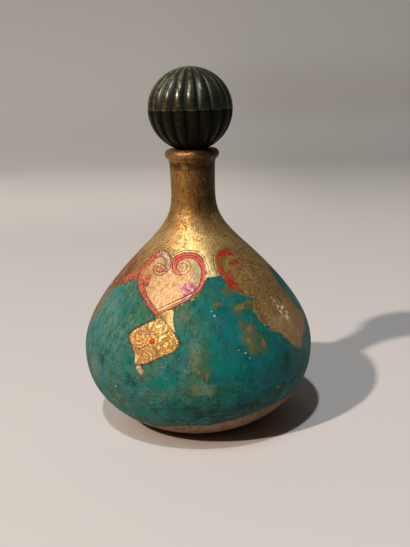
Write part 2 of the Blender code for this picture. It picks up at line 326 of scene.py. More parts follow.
PAINT_EDGE = ((-180, 18), (-120, 15), (-80, 15), (-36.8, 17.7), (-26.8, 16.7), (-12.2, 21.2),
              (-2.8, 22.6), (6.3, 22.4), (15.1, 25.2), (27, 28.2), (36.6, 31.1), (48.3, 32.7),
              (80, 33), (110, 27), (150, 20), (180, 18))
WEAR = {
    "ochre_rubs": (
        (12.6, 116.4, 4.8, 2.6), (22.0, 124.0, 6.4, 3.6), (34.0, 113.0, 8.0, 4.4),
        (28.0, 113.2, 6.0, 3.0), (24.4, 110.6, 3.4, 4.8), (24.7, 100.5, 4.6, 3.6),
        (28.4, 98.0, 5.4, 4.0), (26.4, 92.5, 4.4, 6.6), (30.5, 92.0, 3.6, 5.0),
        (28.0, 84.5, 5.6, 5.2), (33.4, 86.0, 3.4, 6.0), (3.4, 79.6, 2.2, 5.0),
        (4.2, 71.5, 1.8, 4.0), (0.8, 71.2, 2.0, 2.2), (40.6, 48.7, 2.4, 1.8),
        (-9.5, 114.4, 1.6, 3.4), (-32.0, 113.9, 1.4, 2.6), (1.5, 70.5, 2.6, 2.2),
        (-26.0, 66.0, 2.0, 1.2), (131, 80, 4, 7), (168, 98, 5, 3), (-140, 60, 4, 3),
        (-122, 108, 4, 4), (95, 55, 5, 3)),
    "embers": (
        (33.8, 87.2, 1.1, 3.0), (4.0, 68.4, 0.9, 3.2), (0.4, 71.5, 0.9, 1.3),
        (-28.4, 64.8, 1.1, 0.9), (-26.2, 70.4, 1.0, 1.6), (150, 66, 1.4, 2.2)),
    "tan_streaks": (
        (-29.4, 79.6, 2.2, 5.0), (-28.2, 75.0, 2.3, 4.8), (-26.8, 70.6, 2.0, 3.0),
        (60.2, 84.4, 1.7, 4.6), (60.4, 77.0, 1.2, 2.6), (112, 70, 2, 5)),
    "dusted": (
        (-1.0, 84.0, 7.0, 22.0), (1.5, 58.0, 10.0, 8.0), (-8.0, 110.0, 6.0, 8.0),
        (26, 92, 8, 9), (-60.0, 60.0, 12.0, 12.0), (140, 70, 9, 16), (-150, 100, 8, 14)),
    "rusty": ((-91, 102, 28, 21), (-82, 117, 11, 8), (100, 116, 9, 15)),
    "dark_smears": (
        (-38.5, 110.0, 3.6, 9.5), (-33.0, 60.5, 8.0, 5.5), (-4.0, 41.0, 9.0, 4.5),
        (46.0, 66.0, 7.0, 11.0), (22.0, 38.0, 14.0, 4.0), (-52.0, 72.0, 6.0, 9.0),
        (33.0, 103.0, 3.0, 6.0), (43.0, 47.0, 8.0, 4.5), (-28.4, 64.8, 1.6, 1.4),
        (120, 50, 16, 7), (-150, 80, 9, 9), (-100, 48, 14, 7), (60.0, 52.0, 6.0, 8.0)),
    "clean_teal": (
        (-19.5, 62.5, 11.0, 6.0), (-30.0, 33.0, 12.0, 6.0), (22.0, 98.0, 7.0, 12.0),
        (13.0, 76.0, 12.0, 9.0), (-47.0, 108.0, 5.0, 12.0), (36.0, 77.0, 8.0, 5.0),
        (8.0, 90.0, 5.0, 14.0), (120, 85, 18, 12), (-170, 70, 16, 9)),
    "chips": (
        (-42.6, 53.1, 1.0, 0.8), (-26.9, 25.4, 0.9, 0.7), (22.6, 82.4, 1.0, 0.8),
        (19.9, 85.2, 0.7, 0.6), (24.7, 78.3, 0.8, 0.7), (70.3, 128.6, 0.9, 0.9),
        (8.8, 112.4, 0.8, 0.6), (10.2, 109.4, 1.0, 0.8), (40.8, 48.6, 0.8, 0.6),
        (95, 80, 1.0, 1.2), (-150, 45, 1.3, 1.0), (-100, 72, 1.0, 0.9), (160, 48, 1.4, 0.8)),
}


def mark_wear(mesh):
    """What both painted parts carry: the paint's lower edge, and each kind of wear."""
    spots = spots_of(mesh)
    edge = np.interp(azimuths(spots), *zip(*PAINT_EDGE))
    mark(mesh, "above_paint_edge", spots[:, 2] * MM - edge)
    radii = np.hypot(spots[:, 0], spots[:, 1])
    mark(mesh, "on_the_skin", (radii - radius_at(spots[:, 2])) * MM)
    for name, places in WEAR.items():
        mark(mesh, name, patches(spots, places))


class Coat:
    """What covers a surface: its colour, its roughness and its height."""

    def __init__(self, colour, roughness, height):
        self.colour, self.roughness, self.height = colour, roughness, height

    def tint(self, share, colour):
        self.colour = share.over(self.colour, colour)

    def lay(self, share, coat):
        """Lays another coat over this one."""
        self.tint(share, coat.colour)
        self.roughness = share.blend(self.roughness, coat.roughness)
        self.height = share.blend(self.height, coat.height)


class Paint(Recipe):
    """One material: the place of each point, noise of a size in metres, and drawn distances."""

    def __init__(self, name, relief):
        self.material = bpy.data.materials.new(name)
        self.material.use_nodes = True
        super().__init__(self.material.node_tree)
        self.shader = self.tree.nodes["Principled BSDF"]
        self.relief = relief
        self.place = self.add("ShaderNodeTexCoord").outputs["Object"]
        parts = self.add("ShaderNodeSeparateXYZ", {0: self.place}).outputs
        self.x, self.y, self.z = (Amount(self, part) for part in parts)

    def vector(self, operation, *vectors, **named):
        inputs = {**dict(enumerate(vectors)), **named}
        return self.add("ShaderNodeVectorMath", inputs, operation=operation).outputs[0]

    def measured(self, operation, *vectors):
        node = self.add("ShaderNodeVectorMath", dict(enumerate(vectors)), operation=operation)
        return Amount(self, node.outputs["Value"])

    def joined(self, x=0.0, y=0.0, z=0.0):
        return self.add("ShaderNodeCombineXYZ", {0: x, 1: y, 2: z}).outputs[0]

    def stretched(self, across, up):
        """The place drawn out: forms shrink across or up by these shares."""
        return self.vector("MULTIPLY", self.place, (across, across, up))

    def wrapped(self, round_share, up_share):
        """Place on a drum: round the axis and up it, for streaks that follow the turning."""
        drum = self.vector("NORMALIZE", self.stretched(1.0, 0.0))
        wide = self.vector("SCALE", drum, Scale=round_share)
        return self.vector("ADD", wide, self.joined(z=self.z * up_share))

    def cloud(self, size, detail=4.0, rough=0.55, place=None):
        """Soft noise whose forms are about one size, in metres."""
        node = self.add("ShaderNodeTexNoise", {
            "Vector": self.place if place is None else place, "Scale": 1.0 / size,
            "Detail": detail, "Roughness": rough})
        return Amount(self, node.outputs[0])

    def cells(self, size, feature="F1", place=None):
        node = self.add("ShaderNodeTexVoronoi", {
            "Vector": self.place if place is None else place, "Scale": 1.0 / size},
            feature=feature)
        return Amount(self, node.outputs["Distance"])

    def drawn(self, name):
        """A distance that the skin's own points carry, in millimetres."""
        node = self.add("ShaderNodeAttribute", attribute_name=name)
        return Amount(self, node.outputs["Fac"])

    def ragged(self, size, by, rough=0.65):
        """Makes a drawn edge wander: noise of this size, worth plus or minus half of by."""
        return (self.cloud(size, 4.0, rough) - 0.5) * by

    def patch(self, name, size, by, rough, low, high):
        """A marked patch whose edge wanders, and softens from low to high."""
        return (self.drawn(name) + self.ragged(size, by, rough)).rise(low, high)

    def settle(self, coat, specular=0.5, metal=0.0):
        """Joins a coat to the shader, with its height as a bump of this material's relief."""
        given = {"Base Color": coat.colour, "Roughness": coat.roughness,
                 "Specular IOR Level": specular, "Metallic": metal}
        if self.relief:
            given["Normal"] = self.add("ShaderNodeBump", {
                "Strength": 1.0, "Distance": self.relief, "Height": coat.height}).outputs[0]
        for socket, value in given.items():
            self.give(self.shader.inputs[socket], value)
        return self.material


def teal_paint(paint):
    """Brushed oil over gesso, crackled upright, mottled; painted glare left, grime and painted
    shade low.
    """
    x, z = paint.x, paint.z
    wide = paint.cloud(0.030, 3.0)
    patch = paint.cloud(0.0085, 6.0, 0.66)
    fine = paint.cloud(0.0021, 4.0, 0.76)
    brush = paint.cloud(0.0015, 4.0, 0.6, paint.wrapped(0.012, 1.0))
    upright = paint.cloud(0.004, 5.0, 0.65, paint.wrapped(0.080, 0.42))
    weave = paint.cloud(0.0024, 5.0, 0.78, paint.wrapped(0.082, 0.46))
    drift = paint.cloud(0.021, 4.0, 0.6).rise(0.50, 0.60)
    cracks = weave.rise(0.46, 0.38) * paint.cloud(0.012).rise(0.36, 0.52)
    # The left side faces the lamps; the pale film, dust, weave and scratch marks are stronger
    # there, partly as painted light.
    left = (x + wide * 0.08).rise(0.030, -0.050)
    lit_left = (x + patch * 0.030).rise(0.036, -0.004)
    low = (z + (patch - 0.5) * 0.060).rise(0.064, 0.028)
    made = Coat(patch.rise(0.36, 0.62).over((0, 84, 77), (4, 104, 97)),
                fine.blend(0.50, 0.66), brush * 0.5 + (fine * 0.7 - cracks * 0.6))
    made.tint(wide.rise(0.48, 0.64), (18, 92, 68))
    made.tint(patch.rise(0.60, 0.72) * 0.55, (54, 126, 112))
    # Painted shade: the right side, away from the lamps, is tinted a deeper blue-teal.
    made.tint(x.rise(-0.004, 0.036) * 0.62, (0, 91, 92))
    made.tint(drift * x.rise(-0.020, 0.030).blend(0.30, 0.55), (12, 92, 104))
    # Painted highlight: a pale varnish glare, streaked upright, on the lit left and fading lower
    # down.
    painted_glare = left * z.rise(0.074, 0.106).blend(0.32, 1.0)
    made.tint(painted_glare * upright.rise(0.20, 0.72) * 0.58, (92, 150, 136))
    film = paint.cloud(0.016, 5.0, 0.7).rise(0.36, 0.60)
    made.tint(film * lit_left.blend(0.04, 0.20), (124, 112, 80))
    # Pale dust, laid far stronger on the lit left, where it is partly a painted highlight.
    dust_and_light = upright.rise(0.52, 0.66) * wide.rise(0.40, 0.56)
    made.tint(dust_and_light * lit_left.blend(0.04, 0.40), (116, 120, 84))
    made.tint(fine.rise(0.54, 0.64) * patch.rise(0.60, 0.44) * 0.70, (8, 48, 40))
    made.tint(cracks * 0.62, (8, 44, 36))
    made.tint(weave.rise(0.58, 0.66) * lit_left.blend(0.10, 0.18), (92, 146, 130))
    # Grime and soot specks towards the foot and on the right, laid thick enough to be painted shade
    # as well.
    grime_and_shade = low * paint.cloud(0.0036, 6.0, 0.74, paint.wrapped(0.026, 1.0)).rise(0.42, 0.54)
    made.tint(grime_and_shade * x.rise(-0.045, 0.020).blend(0.12, 0.82), (26, 44, 33))
    soot_and_shade = paint.cloud(0.0028, 5.0, 0.78, paint.wrapped(0.040, 1.0)).rise(0.56, 0.64)
    made.tint(soot_and_shade * low.blend(0.35, 0.95), (5, 18, 16))
    scratch = brush.rise(0.58, 0.68) * patch.rise(0.40, 0.56)
    made.tint(scratch * lit_left.blend(0.18, 0.36), (112, 146, 126))
    # Painted sheen: a paler teal along the right edge, standing in for the varnish's grazing
    # reflection.
    painted_sheen = x.rise(0.064, 0.086) * z.rise(0.050, 0.090)
    made.tint(painted_sheen * patch.rise(0.38, 0.60).blend(0.26, 0.58), (108, 138, 130))
    return made


def bare_wood(paint):
    """Turned pale wood, with the foot's pinkish stain and handling marks, and painted shade at
    right.
    """
    grain = paint.cloud(0.0016, 4.0, 0.6, paint.stretched(1.0, 0.12))
    rings = paint.cloud(0.0011, 3.0, 0.6, paint.wrapped(0.004, 1.0))
    stain = paint.cloud(0.007, 4.0, 0.6)
    made = Coat(grain.rise(0.35, 0.7).over((150, 122, 92), (120, 92, 64)),
                grain.blend(0.62, 0.85), rings + grain * 0.5)
    made.tint(stain.rise(0.48, 0.60) * 0.75, (112, 66, 46))
    made.tint(rings.rise(0.56, 0.7) * 0.5, (74, 54, 36))
    # Painted shade: the wood is darker on the right side.
    made.tint(paint.x.rise(0.010, 0.055) * 0.50, (78, 68, 50))
    return made


def teal_body(paint):
    """Wood below, teal above it, and where the teal is smeared, rubbed, stained or chipped."""
    speck = paint.cloud(0.0018, 4.0, 0.72)
    teal = teal_paint(paint)
    teal.tint(paint.patch("clean_teal", 0.009, 22.0, 0.65, -2.0, 7.0) * 0.72, (0, 103, 97))
    dusted = paint.patch("dusted", 0.0060, 16.0, 0.72, -1.0, 6.0)
    teal.tint(dusted * speck.rise(0.36, 0.56) * 0.60, (124, 118, 84))
    teal.tint(paint.patch("dark_smears", 0.0045, 22.0, 0.72, -0.5, 5.0) * 0.66, (26, 52, 40))
    above = paint.drawn("above_paint_edge") + paint.ragged(0.003, 5.0)
    teal.tint((above + paint.ragged(0.008, 4.0)).rise(3.2, 0.4) * 0.55, (62, 48, 36))
    made = bare_wood(paint)
    made.lay(above.rise(-0.3, 0.3) * paint.drawn("on_the_skin").rise(-3.0, -2.0), teal)
    tan = speck.rise(0.4, 0.6).over((170, 108, 70), (228, 190, 142))
    made.lay(paint.patch("tan_streaks", 0.0030, 5.0, 0.7, -0.3, 1.0) * 0.90, Coat(tan, 0.55, 0.6))
    rust = Coat(speck.rise(0.42, 0.60).over((92, 62, 48), (142, 96, 68)), 0.55, 0.6)
    rust.tint(paint.cloud(0.0060, 5.0, 0.7).rise(0.48, 0.60) * 0.7, (150, 116, 72))
    rusty = paint.patch("rusty", 0.0105, 30.0, 0.66, -1.0, 5.0)
    made.lay(rusty * speck.rise(0.68, 0.50) * 0.88, rust)
    rub = paint.drawn("ochre_rubs") + (
        paint.ragged(0.0060, 9.0, 0.72) + paint.ragged(0.0018, 4.0, 0.7))
    ochre = paint.cloud(0.0065, 4.0, 0.65).rise(0.48, 0.66).over((84, 80, 42), (138, 98, 50))
    ochre = rub.rise(0.0, 3.0).over((62, 84, 54), ochre)
    made.lay(rub.rise(-2.8, 2.0) * speck.rise(0.74, 0.50) * 0.88, Coat(ochre, 0.5, 0.7))
    ember = paint.drawn("embers") + (speck - 0.5) * 4.0
    made.lay(ember.rise(-0.3, 0.7) * 0.85, Coat((176, 82, 50), 0.5, 0.3))
    chip = paint.drawn("chips") + (speck - 0.5) * 3.0
    made.lay(chip.rise(-0.1, 0.5) * 0.9, Coat((206, 200, 178), 0.75, 0.0))
    return made


bowl_paint = Paint("Teal paint over turned wood", 0.00012)
bowl_finish = bowl_paint.settle(teal_body(bowl_paint), specular=0.12)
bowl_profile = [
    (0.0, 0.0), (BASE_RADIUS * 0.5, 0.0), (BASE_RADIUS - FOOT_ROW, 0.0),
    *stretch(0.0, BELLY_HEIGHT, ROW_STEP),
    *inner_wall(FLOOR_THICKNESS, BELLY_HEIGHT),
    (0.0, FLOOR_THICKNESS),
]
bowl = turned("painted_bowl", bowl_profile, bowl_finish, BODY_COLUMNS)
mark_wear(bowl.data)
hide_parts("lower_bowl")
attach(bowl, "vase")

# The shoulder is glued on the bowl at the belly. Its upper part is gilded over gesso, with
# hearts of scrolls cut in and painted red and pink, and a raised lozenge hangs under each.

NECK_JOINT_HEIGHT = 0.1760
BORE_RADIUS = 0.0110
HEARTS = ((-18.0, 1), (47.5, -1), (124.0, 1), (188.0, -1), (-117.0, 1))
LOZENGES = ((-22.0, 1), (62.0, 1), (120.0, 1), (192.0, -1), (-121.0, 1))
LEAF_FOOT = ((-180, 162), (-60, 160), (-38, 160), (0, 163), (9, 167), (24, 167.5), (34, 163),
             (90, 162), (180, 162))
RELIEF = 0.00045
RELIEF_EDGE = (-0.6, 0.7)
SOCKET_DROP = 0.003
STROKE_WIDTH = 8.4

HEART_EDGE = (
    ((-3.9, 184.3), (-0.3, 188), (4.6, 190.1), (11.8, 190), (18.4, 186.2), (23, 179.2),
     (25.6, 172.4), (26.4, 166.6), (25.8, 161), (24.2, 156.3), (21.8, 152.2), (15.6, 148.3),
     (9.2, 144.8), (1.6, 140.5), (-6.8, 134.9)),
    ((-6.8, 134.9), (-15.3, 141), (-21.7, 147.6), (-27.8, 152.9), (-32, 158.6), (-33.5, 164.1),
     (-32.5, 170), (-29, 177), (-25.5, 183.5), (-23.4, 188.2), (-21.3, 190.3), (-16, 191.9),
     (-9.7, 190.3), (-3.9, 184.3)),
)
SCROLL = (
    ((7, 170.3), (3.6, 170.2), (0.3, 171.4), (-1.8, 174.6), (-2.9, 179), (-3.1, 184.2),
     (-0.3, 187.6), (4.6, 189.6), (11.8, 189.5), (18.1, 185.8), (22.6, 179), (25.1, 172.3),
     (25.9, 166.6), (25.3, 161.2), (23.6, 156.7), (21, 153.2), (17.5, 151.2)),
    ((17.5, 151.2), (20.6, 157), (22.2, 162.6), (22.2, 169.8), (20.5, 175.7), (16.7, 181.6),
     (12.2, 184.9), (7, 185.1), (2.9, 183.3), (0.9, 179.5), (1.2, 175.6), (3.6, 173.2),
     (7, 170.3)),
)
SIDE_BAND = (
    ((-33.3, 164.1), (-31.6, 158.6), (-27.5, 153.2), (-21.4, 147.9), (-15.1, 141.4),
     (-8.6, 135.4), (-6.4, 135.6)),
    ((-6.4, 135.6), (-6, 137.9), (-11.3, 142.8), (-17.3, 148.9), (-22.1, 154.6),
     (-25.6, 159.7), (-28.5, 165.5), (-31.5, 168.5), (-33.3, 164.1)),
)
JOINING_STROKE = ((-47.8, 158.7), (-44.8, 161.6), (-38.1, 166.6), (-32.2, 171.8),
                  (-27.8, 176.6), (-23.9, 181.9), (-20.5, 185.2))
LOBE_BAND = (
    ((-22.7, 185.2), (-20.4, 188.6), (-15.3, 190.3), (-9.8, 188.8), (-6.1, 184.8), (-4.4, 179.3),
     (-4.8, 174.9), (-7, 171.8)),
    ((-7, 171.8), (-8.8, 173.5), (-7.9, 176), (-8.2, 179), (-9.4, 182), (-12, 184.6),
     (-16, 185.6), (-19.5, 183.4), (-22.7, 185.2)),
)
LOBE_SHADE = (
    ((-16.1, 184), (-12.6, 184), (-10.1, 182), (-8.7, 178.4), (-9.7, 177), (-11.8, 179.5),
     (-14, 182), (-16.1, 184)),
)
TEARDROP = (
    ((-16.9, 173.4), (-16.7, 176.1), (-14, 177), (-10.7, 175.5), (-8.7, 173), (-9.9, 170.7),
     (-13.5, 170.3), (-15.8, 171.3), (-16.9, 173.4)),
)
LEAF = (
    ((-25.7, 161.5), (-25.3, 165), (-21.9, 167.8), (-19.6, 165.9), (-19.6, 162.4),
     (-20.5, 158.8), (-22.9, 158), (-25.7, 161.5)),
)
PETAL = (
    ((6.7, 161.2), (9.7, 161.9), (11.7, 161.3), (15.4, 162.1), (17.9, 161.2), (19.8, 157.7),
     (19.6, 154.4), (17.5, 151.1), (14.8, 149.1), (11.8, 149.1), (10.1, 149.9), (11.8, 152.8),
     (13.4, 154.5), (11.8, 157), (8.8, 158.7), (6.7, 161.2)),
)
SCROLL_SHADE = (
    ((11.9, 179.7), (14.4, 182.4), (17.5, 178.6), (20, 174.1), (21.9, 167.9), (21.9, 161.9),
     (19.2, 162), (17.2, 164.6), (13.5, 171.7), (11.9, 179.7)),
)
LOZENGE_EDGE = (
    ((2.5, 134.3), (9.5, 128.4), (15.5, 122.5), (21.1, 115.2)),
    ((21.1, 115.2), (18.2, 109.2), (9.2, 104.6), (0.4, 100.0), (-6.2, 97.4), (-12.8, 95.6)),
    ((-12.8, 95.6), (-14.5, 103.4), (-18.3, 110.3), (-22.7, 116.4)),
    ((-22.7, 116.4), (-17.4, 122.1), (-7.4, 128.3), (2.5, 134.3)),
)
STEM = (
    ((0, 139.5), (5.1, 139.6), (11.2, 139.8), (12, 134.1), (13.6, 128), (15.8, 123),
     (9.5, 126.4), (2.5, 132.3), (-2, 134), (0, 139.5)),
)
ROSETTES = ((1.9, 127.2), (10.8, 113.5), (-3.7, 102.9), (-12, 116.7))
JEWEL = (-0.5, 115.0)
WORN_FIELD = (
    (20, 136), (26.1, 125), (31, 122.5), (35.5, 119.3), (41, 116.4), (37.2, 112.5),
    (35.2, 108.3), (34.9, 104.8), (35.3, 101.1), (37, 97.7), (39.6, 95.1), (44.7, 91.8),
    (48.2, 86.3), (52.2, 80.7), (56.5, 75.2), (59.8, 73.4), (63.0, 79.2), (64.2, 84.7),
    (64.4, 91.5), (68.2, 99.9), (72.4, 108.4), (72.4, 115.6), (72.2, 121.5), (76.8, 127.2),
    (82.0, 133.5), (86.0, 140), (80, 144), (30, 142),
)
LEFT_FIELD = ((-100, 140), (-100, 113), (-84, 116), (-76, 119), (-67, 123.5), (-58, 128.2),
              (-50, 131), (-46, 140))
FLAKED = ((56.6, 98.0, 6.0, 9.0), (55.0, 103.0, 7.0, 9.0), (52.6, 109.5, 3.0, 6.0),
          (60.3, 83.0, 3.0, 7.0), (70.3, 128.6, 1.4, 1.4), (-34, 176, 4.0, 4.0))
MOSS = ((26.0, 142.0, 3.4, 7.5), (24.0, 134.5, 2.0, 4.0), (31.0, 145.0, 3.5, 2.5),
        (38.0, 121.0, 3.0, 1.6))
BERRIES = ((28.0, 133.6, 3.6, 4.6), (27.0, 127.6, 6.0, 3.8), (37.5, 141.2, 5.2, 3.4))
GLINTS = ((11.4, 141.0, 2.4, 9.0), (10.0, 132.5, 3.0, 4.5), (9.0, 150.0, 3.0, 3.0),
          (14.6, 134.0, 2.0, 6.5), (-29.6, 78.6, 1.4, 4.8), (-18.6, 99.4, 0.9, 6.5))
HEART_SHAPES = (("heart", HEART_EDGE), ("scroll", SCROLL), ("side_band", SIDE_BAND),
                ("side_band", LEAF), ("teardrop", TEARDROP), ("blush", LOBE_BAND),
                ("petal", PETAL), ("shade", LOBE_SHADE), ("shade", SCROLL_SHADE))
LOZENGE_SHAPES = (("lozenge", LOZENGE_EDGE), ("stem", STEM))
SHOULDER_PATCHES = {"glints": GLINTS, "flaked": FLAKED, "moss": MOSS, "berries": BERRIES}
# Azimuths where each kind of wear starts, is full, wanes and ends.
WORN_SIDES = {
    "tired": ((39.0, 46.0, 100.0, 112.0),),
    "mossy": ((18.0, 23.0, 100.0, 112.0),),
    "frayed": ((26.0, 31.0, 100.0, 112.0), (-108.0, -102.0, -70.0, -62.0)),
}
FAR_OFF = 30.0
FAR_ACROSS = 99.0
SKIN_DEPTH = 0.0005
REACH_ACROSS = 62.0
REACH_UP = 205.0


def line_of(runs, steps=5):
    """A drawn line: each run of points is smoothed, and stays sharp where runs meet."""
    made = []
    for run in runs:
        points = np.array(run, float)
        ends = np.vstack([2 * points[0] - points[1], points, 2 * points[-1] - points[-2]])
        for a, b, c, d in zip(ends, ends[1:], ends[2:], ends[3:]):
            for t in np.arange(steps) / steps:
                made.append(0.5 * (2 * b + (c - a) * t + (2 * a - 5 * b + 4 * c - d) * t * t
                                   + (3 * b - a - 3 * c + d) * t**3))
    made.append(np.array(runs[-1][-1], float))
    return np.array(made)


def distance_to(spots, path):
    nearest = np.full(len(spots), 1.0)
    for start, run in zip(path, np.diff(path, axis=0)):
        length = run @ run
        if length == 0.0:
            continue
        share = np.clip((spots - start) @ run / length, 0.0, 1.0)
        off = spots - start - share[:, None] * run
        nearest = np.minimum(nearest, np.sqrt((off * off).sum(1)))
    return nearest * MM


def within(across, up, ring):
    """Which points lie inside a drawn ring."""
    odd = np.zeros(len(across), bool)
    for (x0, y0), (x1, y1) in zip(ring, np.roll(ring, -1, axis=0)):
        if y0 != y1:
            crossed = (y0 > up) != (y1 > up)
            odd ^= crossed & (across < (x1 - x0) * (up - y0) / (y1 - y0) + x0)
    return odd


def ease(values, low, high):
    share = np.clip((values - low) / (high - low), 0.0, 1.0)
    return share * share * (3.0 - 2.0 * share)


class Skin:
    """The shoulder's points near an upright line, and what is drawn round that line."""

    def __init__(self, spots, azimuth, hand):
        self.azimuth, self.hand = azimuth, hand
        off = (azimuths(spots) - azimuth + 180.0) % 360.0 - 180.0
        across = hand * np.radians(off) * MM * radius_at(spots[:, 2])
        up = MM * run_at(spots[:, 2])
        self.near = np.flatnonzero((np.abs(across) < REACH_ACROSS) & (up < REACH_UP))
        self.across, self.up, self.spots = across[self.near], up[self.near], spots[self.near]

    def off_line(self, line):
        radii = MM * np.interp(line[:, 1] / MM, outline_run, outline[:, 0])
        turns = self.azimuth + self.hand * np.degrees(line[:, 0] / radii)
        return distance_to(self.spots, on_skin(turns, line[:, 1]))

    def inside(self, ring):
        off = self.off_line(ring)
        return np.where(within(self.across, self.up, ring), off, -off)

    def from_point(self, point):
        return np.hypot(self.across - point[0], self.up - point[1])

    def merge(self, whole, values):
        """Keeps the greater of what is there and what is drawn here."""
        whole[self.near] = np.maximum(whole[self.near], values)


def merge_field(whole, spots, corners):
    """Merges a field whose corners are azimuths and heights, in mm."""
    middle = sum(azimuth for azimuth, _ in corners) / len(corners)
    ring = [(math.radians(azimuth - middle) * MM * radius_at(height / MM),
             MM * run_at(height / MM)) for azimuth, height in corners]
    skin = Skin(spots, middle, 1)
    skin.merge(whole, skin.inside(np.array(ring + ring[:1])))


def mark_hearts(mesh):
    """Marks how far inside each drawn form every point of the skin lies; returns the lozenges'."""
    spots = spots_of(mesh)
    count = len(spots)
    drawn = {name: np.full(count, OUTSIDE) for name, _ in (*HEART_SHAPES, *LOZENGE_SHAPES)}
    across, up = np.full(count, FAR_ACROSS), np.zeros(count)
    rosette_across, rosette_up, jewel = (np.full(count, FAR_OFF) for _ in range(3))
    for azimuth, hand in HEARTS:
        skin = Skin(spots, azimuth, hand)
        for name, runs in HEART_SHAPES:
            skin.merge(drawn[name], skin.inside(line_of(runs)))
        stroke = skin.off_line(line_of((JOINING_STROKE,)))
        skin.merge(drawn["side_band"], STROKE_WIDTH / 2.0 - stroke)
        close = np.abs(skin.across) < np.abs(across[skin.near])
        across[skin.near[close]] = skin.across[close]
        up[skin.near[close]] = skin.up[close]
    for azimuth, hand in LOZENGES:
        skin = Skin(spots, azimuth, hand)
        for name, runs in LOZENGE_SHAPES:
            skin.merge(drawn[name], skin.inside(line_of(runs)))
        for centre in ROSETTES:
            close = skin.from_point(centre) < np.hypot(rosette_across, rosette_up)[skin.near]
            rosette_across[skin.near[close]] = skin.across[close] - centre[0]
            rosette_up[skin.near[close]] = skin.up[close] - centre[1]
        jewel[skin.near] = np.minimum(jewel[skin.near], skin.from_point(JEWEL))
    turn = azimuths(spots)
    foot = MM * run_at(spots[:, 2]) - np.interp(turn, *zip(*LEAF_FOOT))
    gilded = np.max([drawn["heart"], drawn["lozenge"], drawn["stem"], foot], axis=0)
    for corners in (WORN_FIELD, LEFT_FIELD):
        merge_field(gilded, spots, corners)
    drawn.update(gilded=gilded, across=across, up=up, rosette_across=rosette_across,
                 rosette_up=rosette_up, jewel=jewel)
    for name, sides in WORN_SIDES.items():
        drawn[name] = np.max([ease(turn, start, full) * ease(turn, end, waning)
                              for start, full, waning, end in sides], axis=0)
    for name, places in SHOULDER_PATCHES.items():
        drawn[name] = patches(spots, places)
    for name, values in drawn.items():
        mark(mesh, name, values)
    return drawn["lozenge"]


def raise_skin(mesh, heights):
    """Moves the skin out along its own slope by so many metres."""
    spots = spots_of(mesh)
    radii = np.hypot(spots[:, 0], spots[:, 1])
    heights = np.where(radii > radius_at(spots[:, 2]) - SKIN_DEPTH, heights, 0.0)
    out = np.interp(spots[:, 2], outline[:, 1], slopes[:, 1])
    down = np.interp(spots[:, 2], outline[:, 1], slopes[:, 0])
    spots[:, :2] *= (1.0 + heights * out / np.maximum(radii, WELD))[:, None]
    spots[:, 2] -= heights * down
    mesh.vertices.foreach_set("co", spots.astype(np.float32).ravel())


def worn_leaf(paint):
    """Metal leaf on red bole, finely crackled and toned with umber; and how metallic it is."""
    x, z = paint.x, paint.z
    wide = paint.cloud(0.018, 4.0, 0.6)
    patch = paint.cloud(0.0055, 6.0, 0.68)
    fine = paint.cloud(0.0016, 4.0, 0.75)
    dashes = paint.cloud(0.0015, 5.0, 0.7, paint.wrapped(0.022, 1.0))
    stir = paint.add("ShaderNodeTexNoise", {"Vector": paint.place, "Scale": 420.0, "Detail": 2.0})
    stir = paint.vector("SCALE", stir.outputs["Color"], Scale=0.0009)
    stirred = paint.vector("ADD", paint.stretched(0.7, 1.5), stir)
    cracks = paint.cells(0.0024, "DISTANCE_TO_EDGE", stirred).rise(0.09, 0.02)
    cracked = (cracks * patch.rise(0.52, 0.64) * 0.5
               | dashes.rise(0.54, 0.62) * wide.rise(0.30, 0.50) * 0.8)
    toned = (patch + fine * 0.40).rise(0.68, 0.80) * 0.52
    # The neck and the shoulder's top are painted brown: the leaf's browning and a painted dark
    # reflection.
    high = (z + (wide - 0.5) * 0.030).rise(0.152, 0.185)
    # The right side, away from the lamps, is painted near black there as shade, with fewer light
    # rubs.
    shady = (x + (patch - 0.5) * 0.020).rise(-0.014, 0.010)
    made = Coat(patch.rise(0.38, 0.64).over((212, 164, 100), (250, 218, 148)),
                patch.blend(0.40, 0.56) + high * 0.05,
                fine * 1.1 + (dashes * 0.9 + patch * 0.8) - cracked * 0.9)
    made.tint(wide.rise(0.50, 0.64) * 0.42, (204, 144, 90))
    made.tint(toned, (92, 64, 34))
    # Painted shade: the leaf is darker brown on the right side.
    made.tint(x.rise(0.004, 0.040) * fine.rise(0.40, 0.56) * 0.56, (92, 66, 38))
    made.tint(x.rise(-0.022, -0.048) * patch.rise(0.46, 0.60) * 0.60, (146, 88, 58))
    bole = (x + (wide - 0.5) * 0.030).rise(-0.036, -0.054) * z.rise(0.164, 0.146)
    made.tint(bole * (patch + fine * 0.3).rise(0.50, 0.66) * 0.80, (146, 80, 54))
    made.tint(high * shady.blend(0.76, 0.94), shady.over((140, 86, 30), (48, 29, 7)))
    mottle = paint.cloud(0.0042, 6.0, 0.75).rise(0.50, 0.62)
    made.tint(high * mottle * 0.55, (62, 34, 14))
    rubs = paint.cloud(0.0050, 6.0, 0.76).rise(0.53, 0.62)
    made.tint(high * rubs * shady.blend(1.0, 0.42) * 0.66, (184, 140, 52))
    streak = paint.cloud(0.0026, 6.0, 0.72, paint.wrapped(0.050, 0.26)).rise(0.50, 0.60)
    # The black streaks gather on the shaded right, partly as painted shade.
    black = high * streak * shady.blend(0.40, 0.92)
    made.tint(black, (18, 11, 4))
    made.tint(cracked * 0.66, (84, 56, 26))
    return made, (0.86 - toned * 0.5) * (1.0 - black * 0.6)


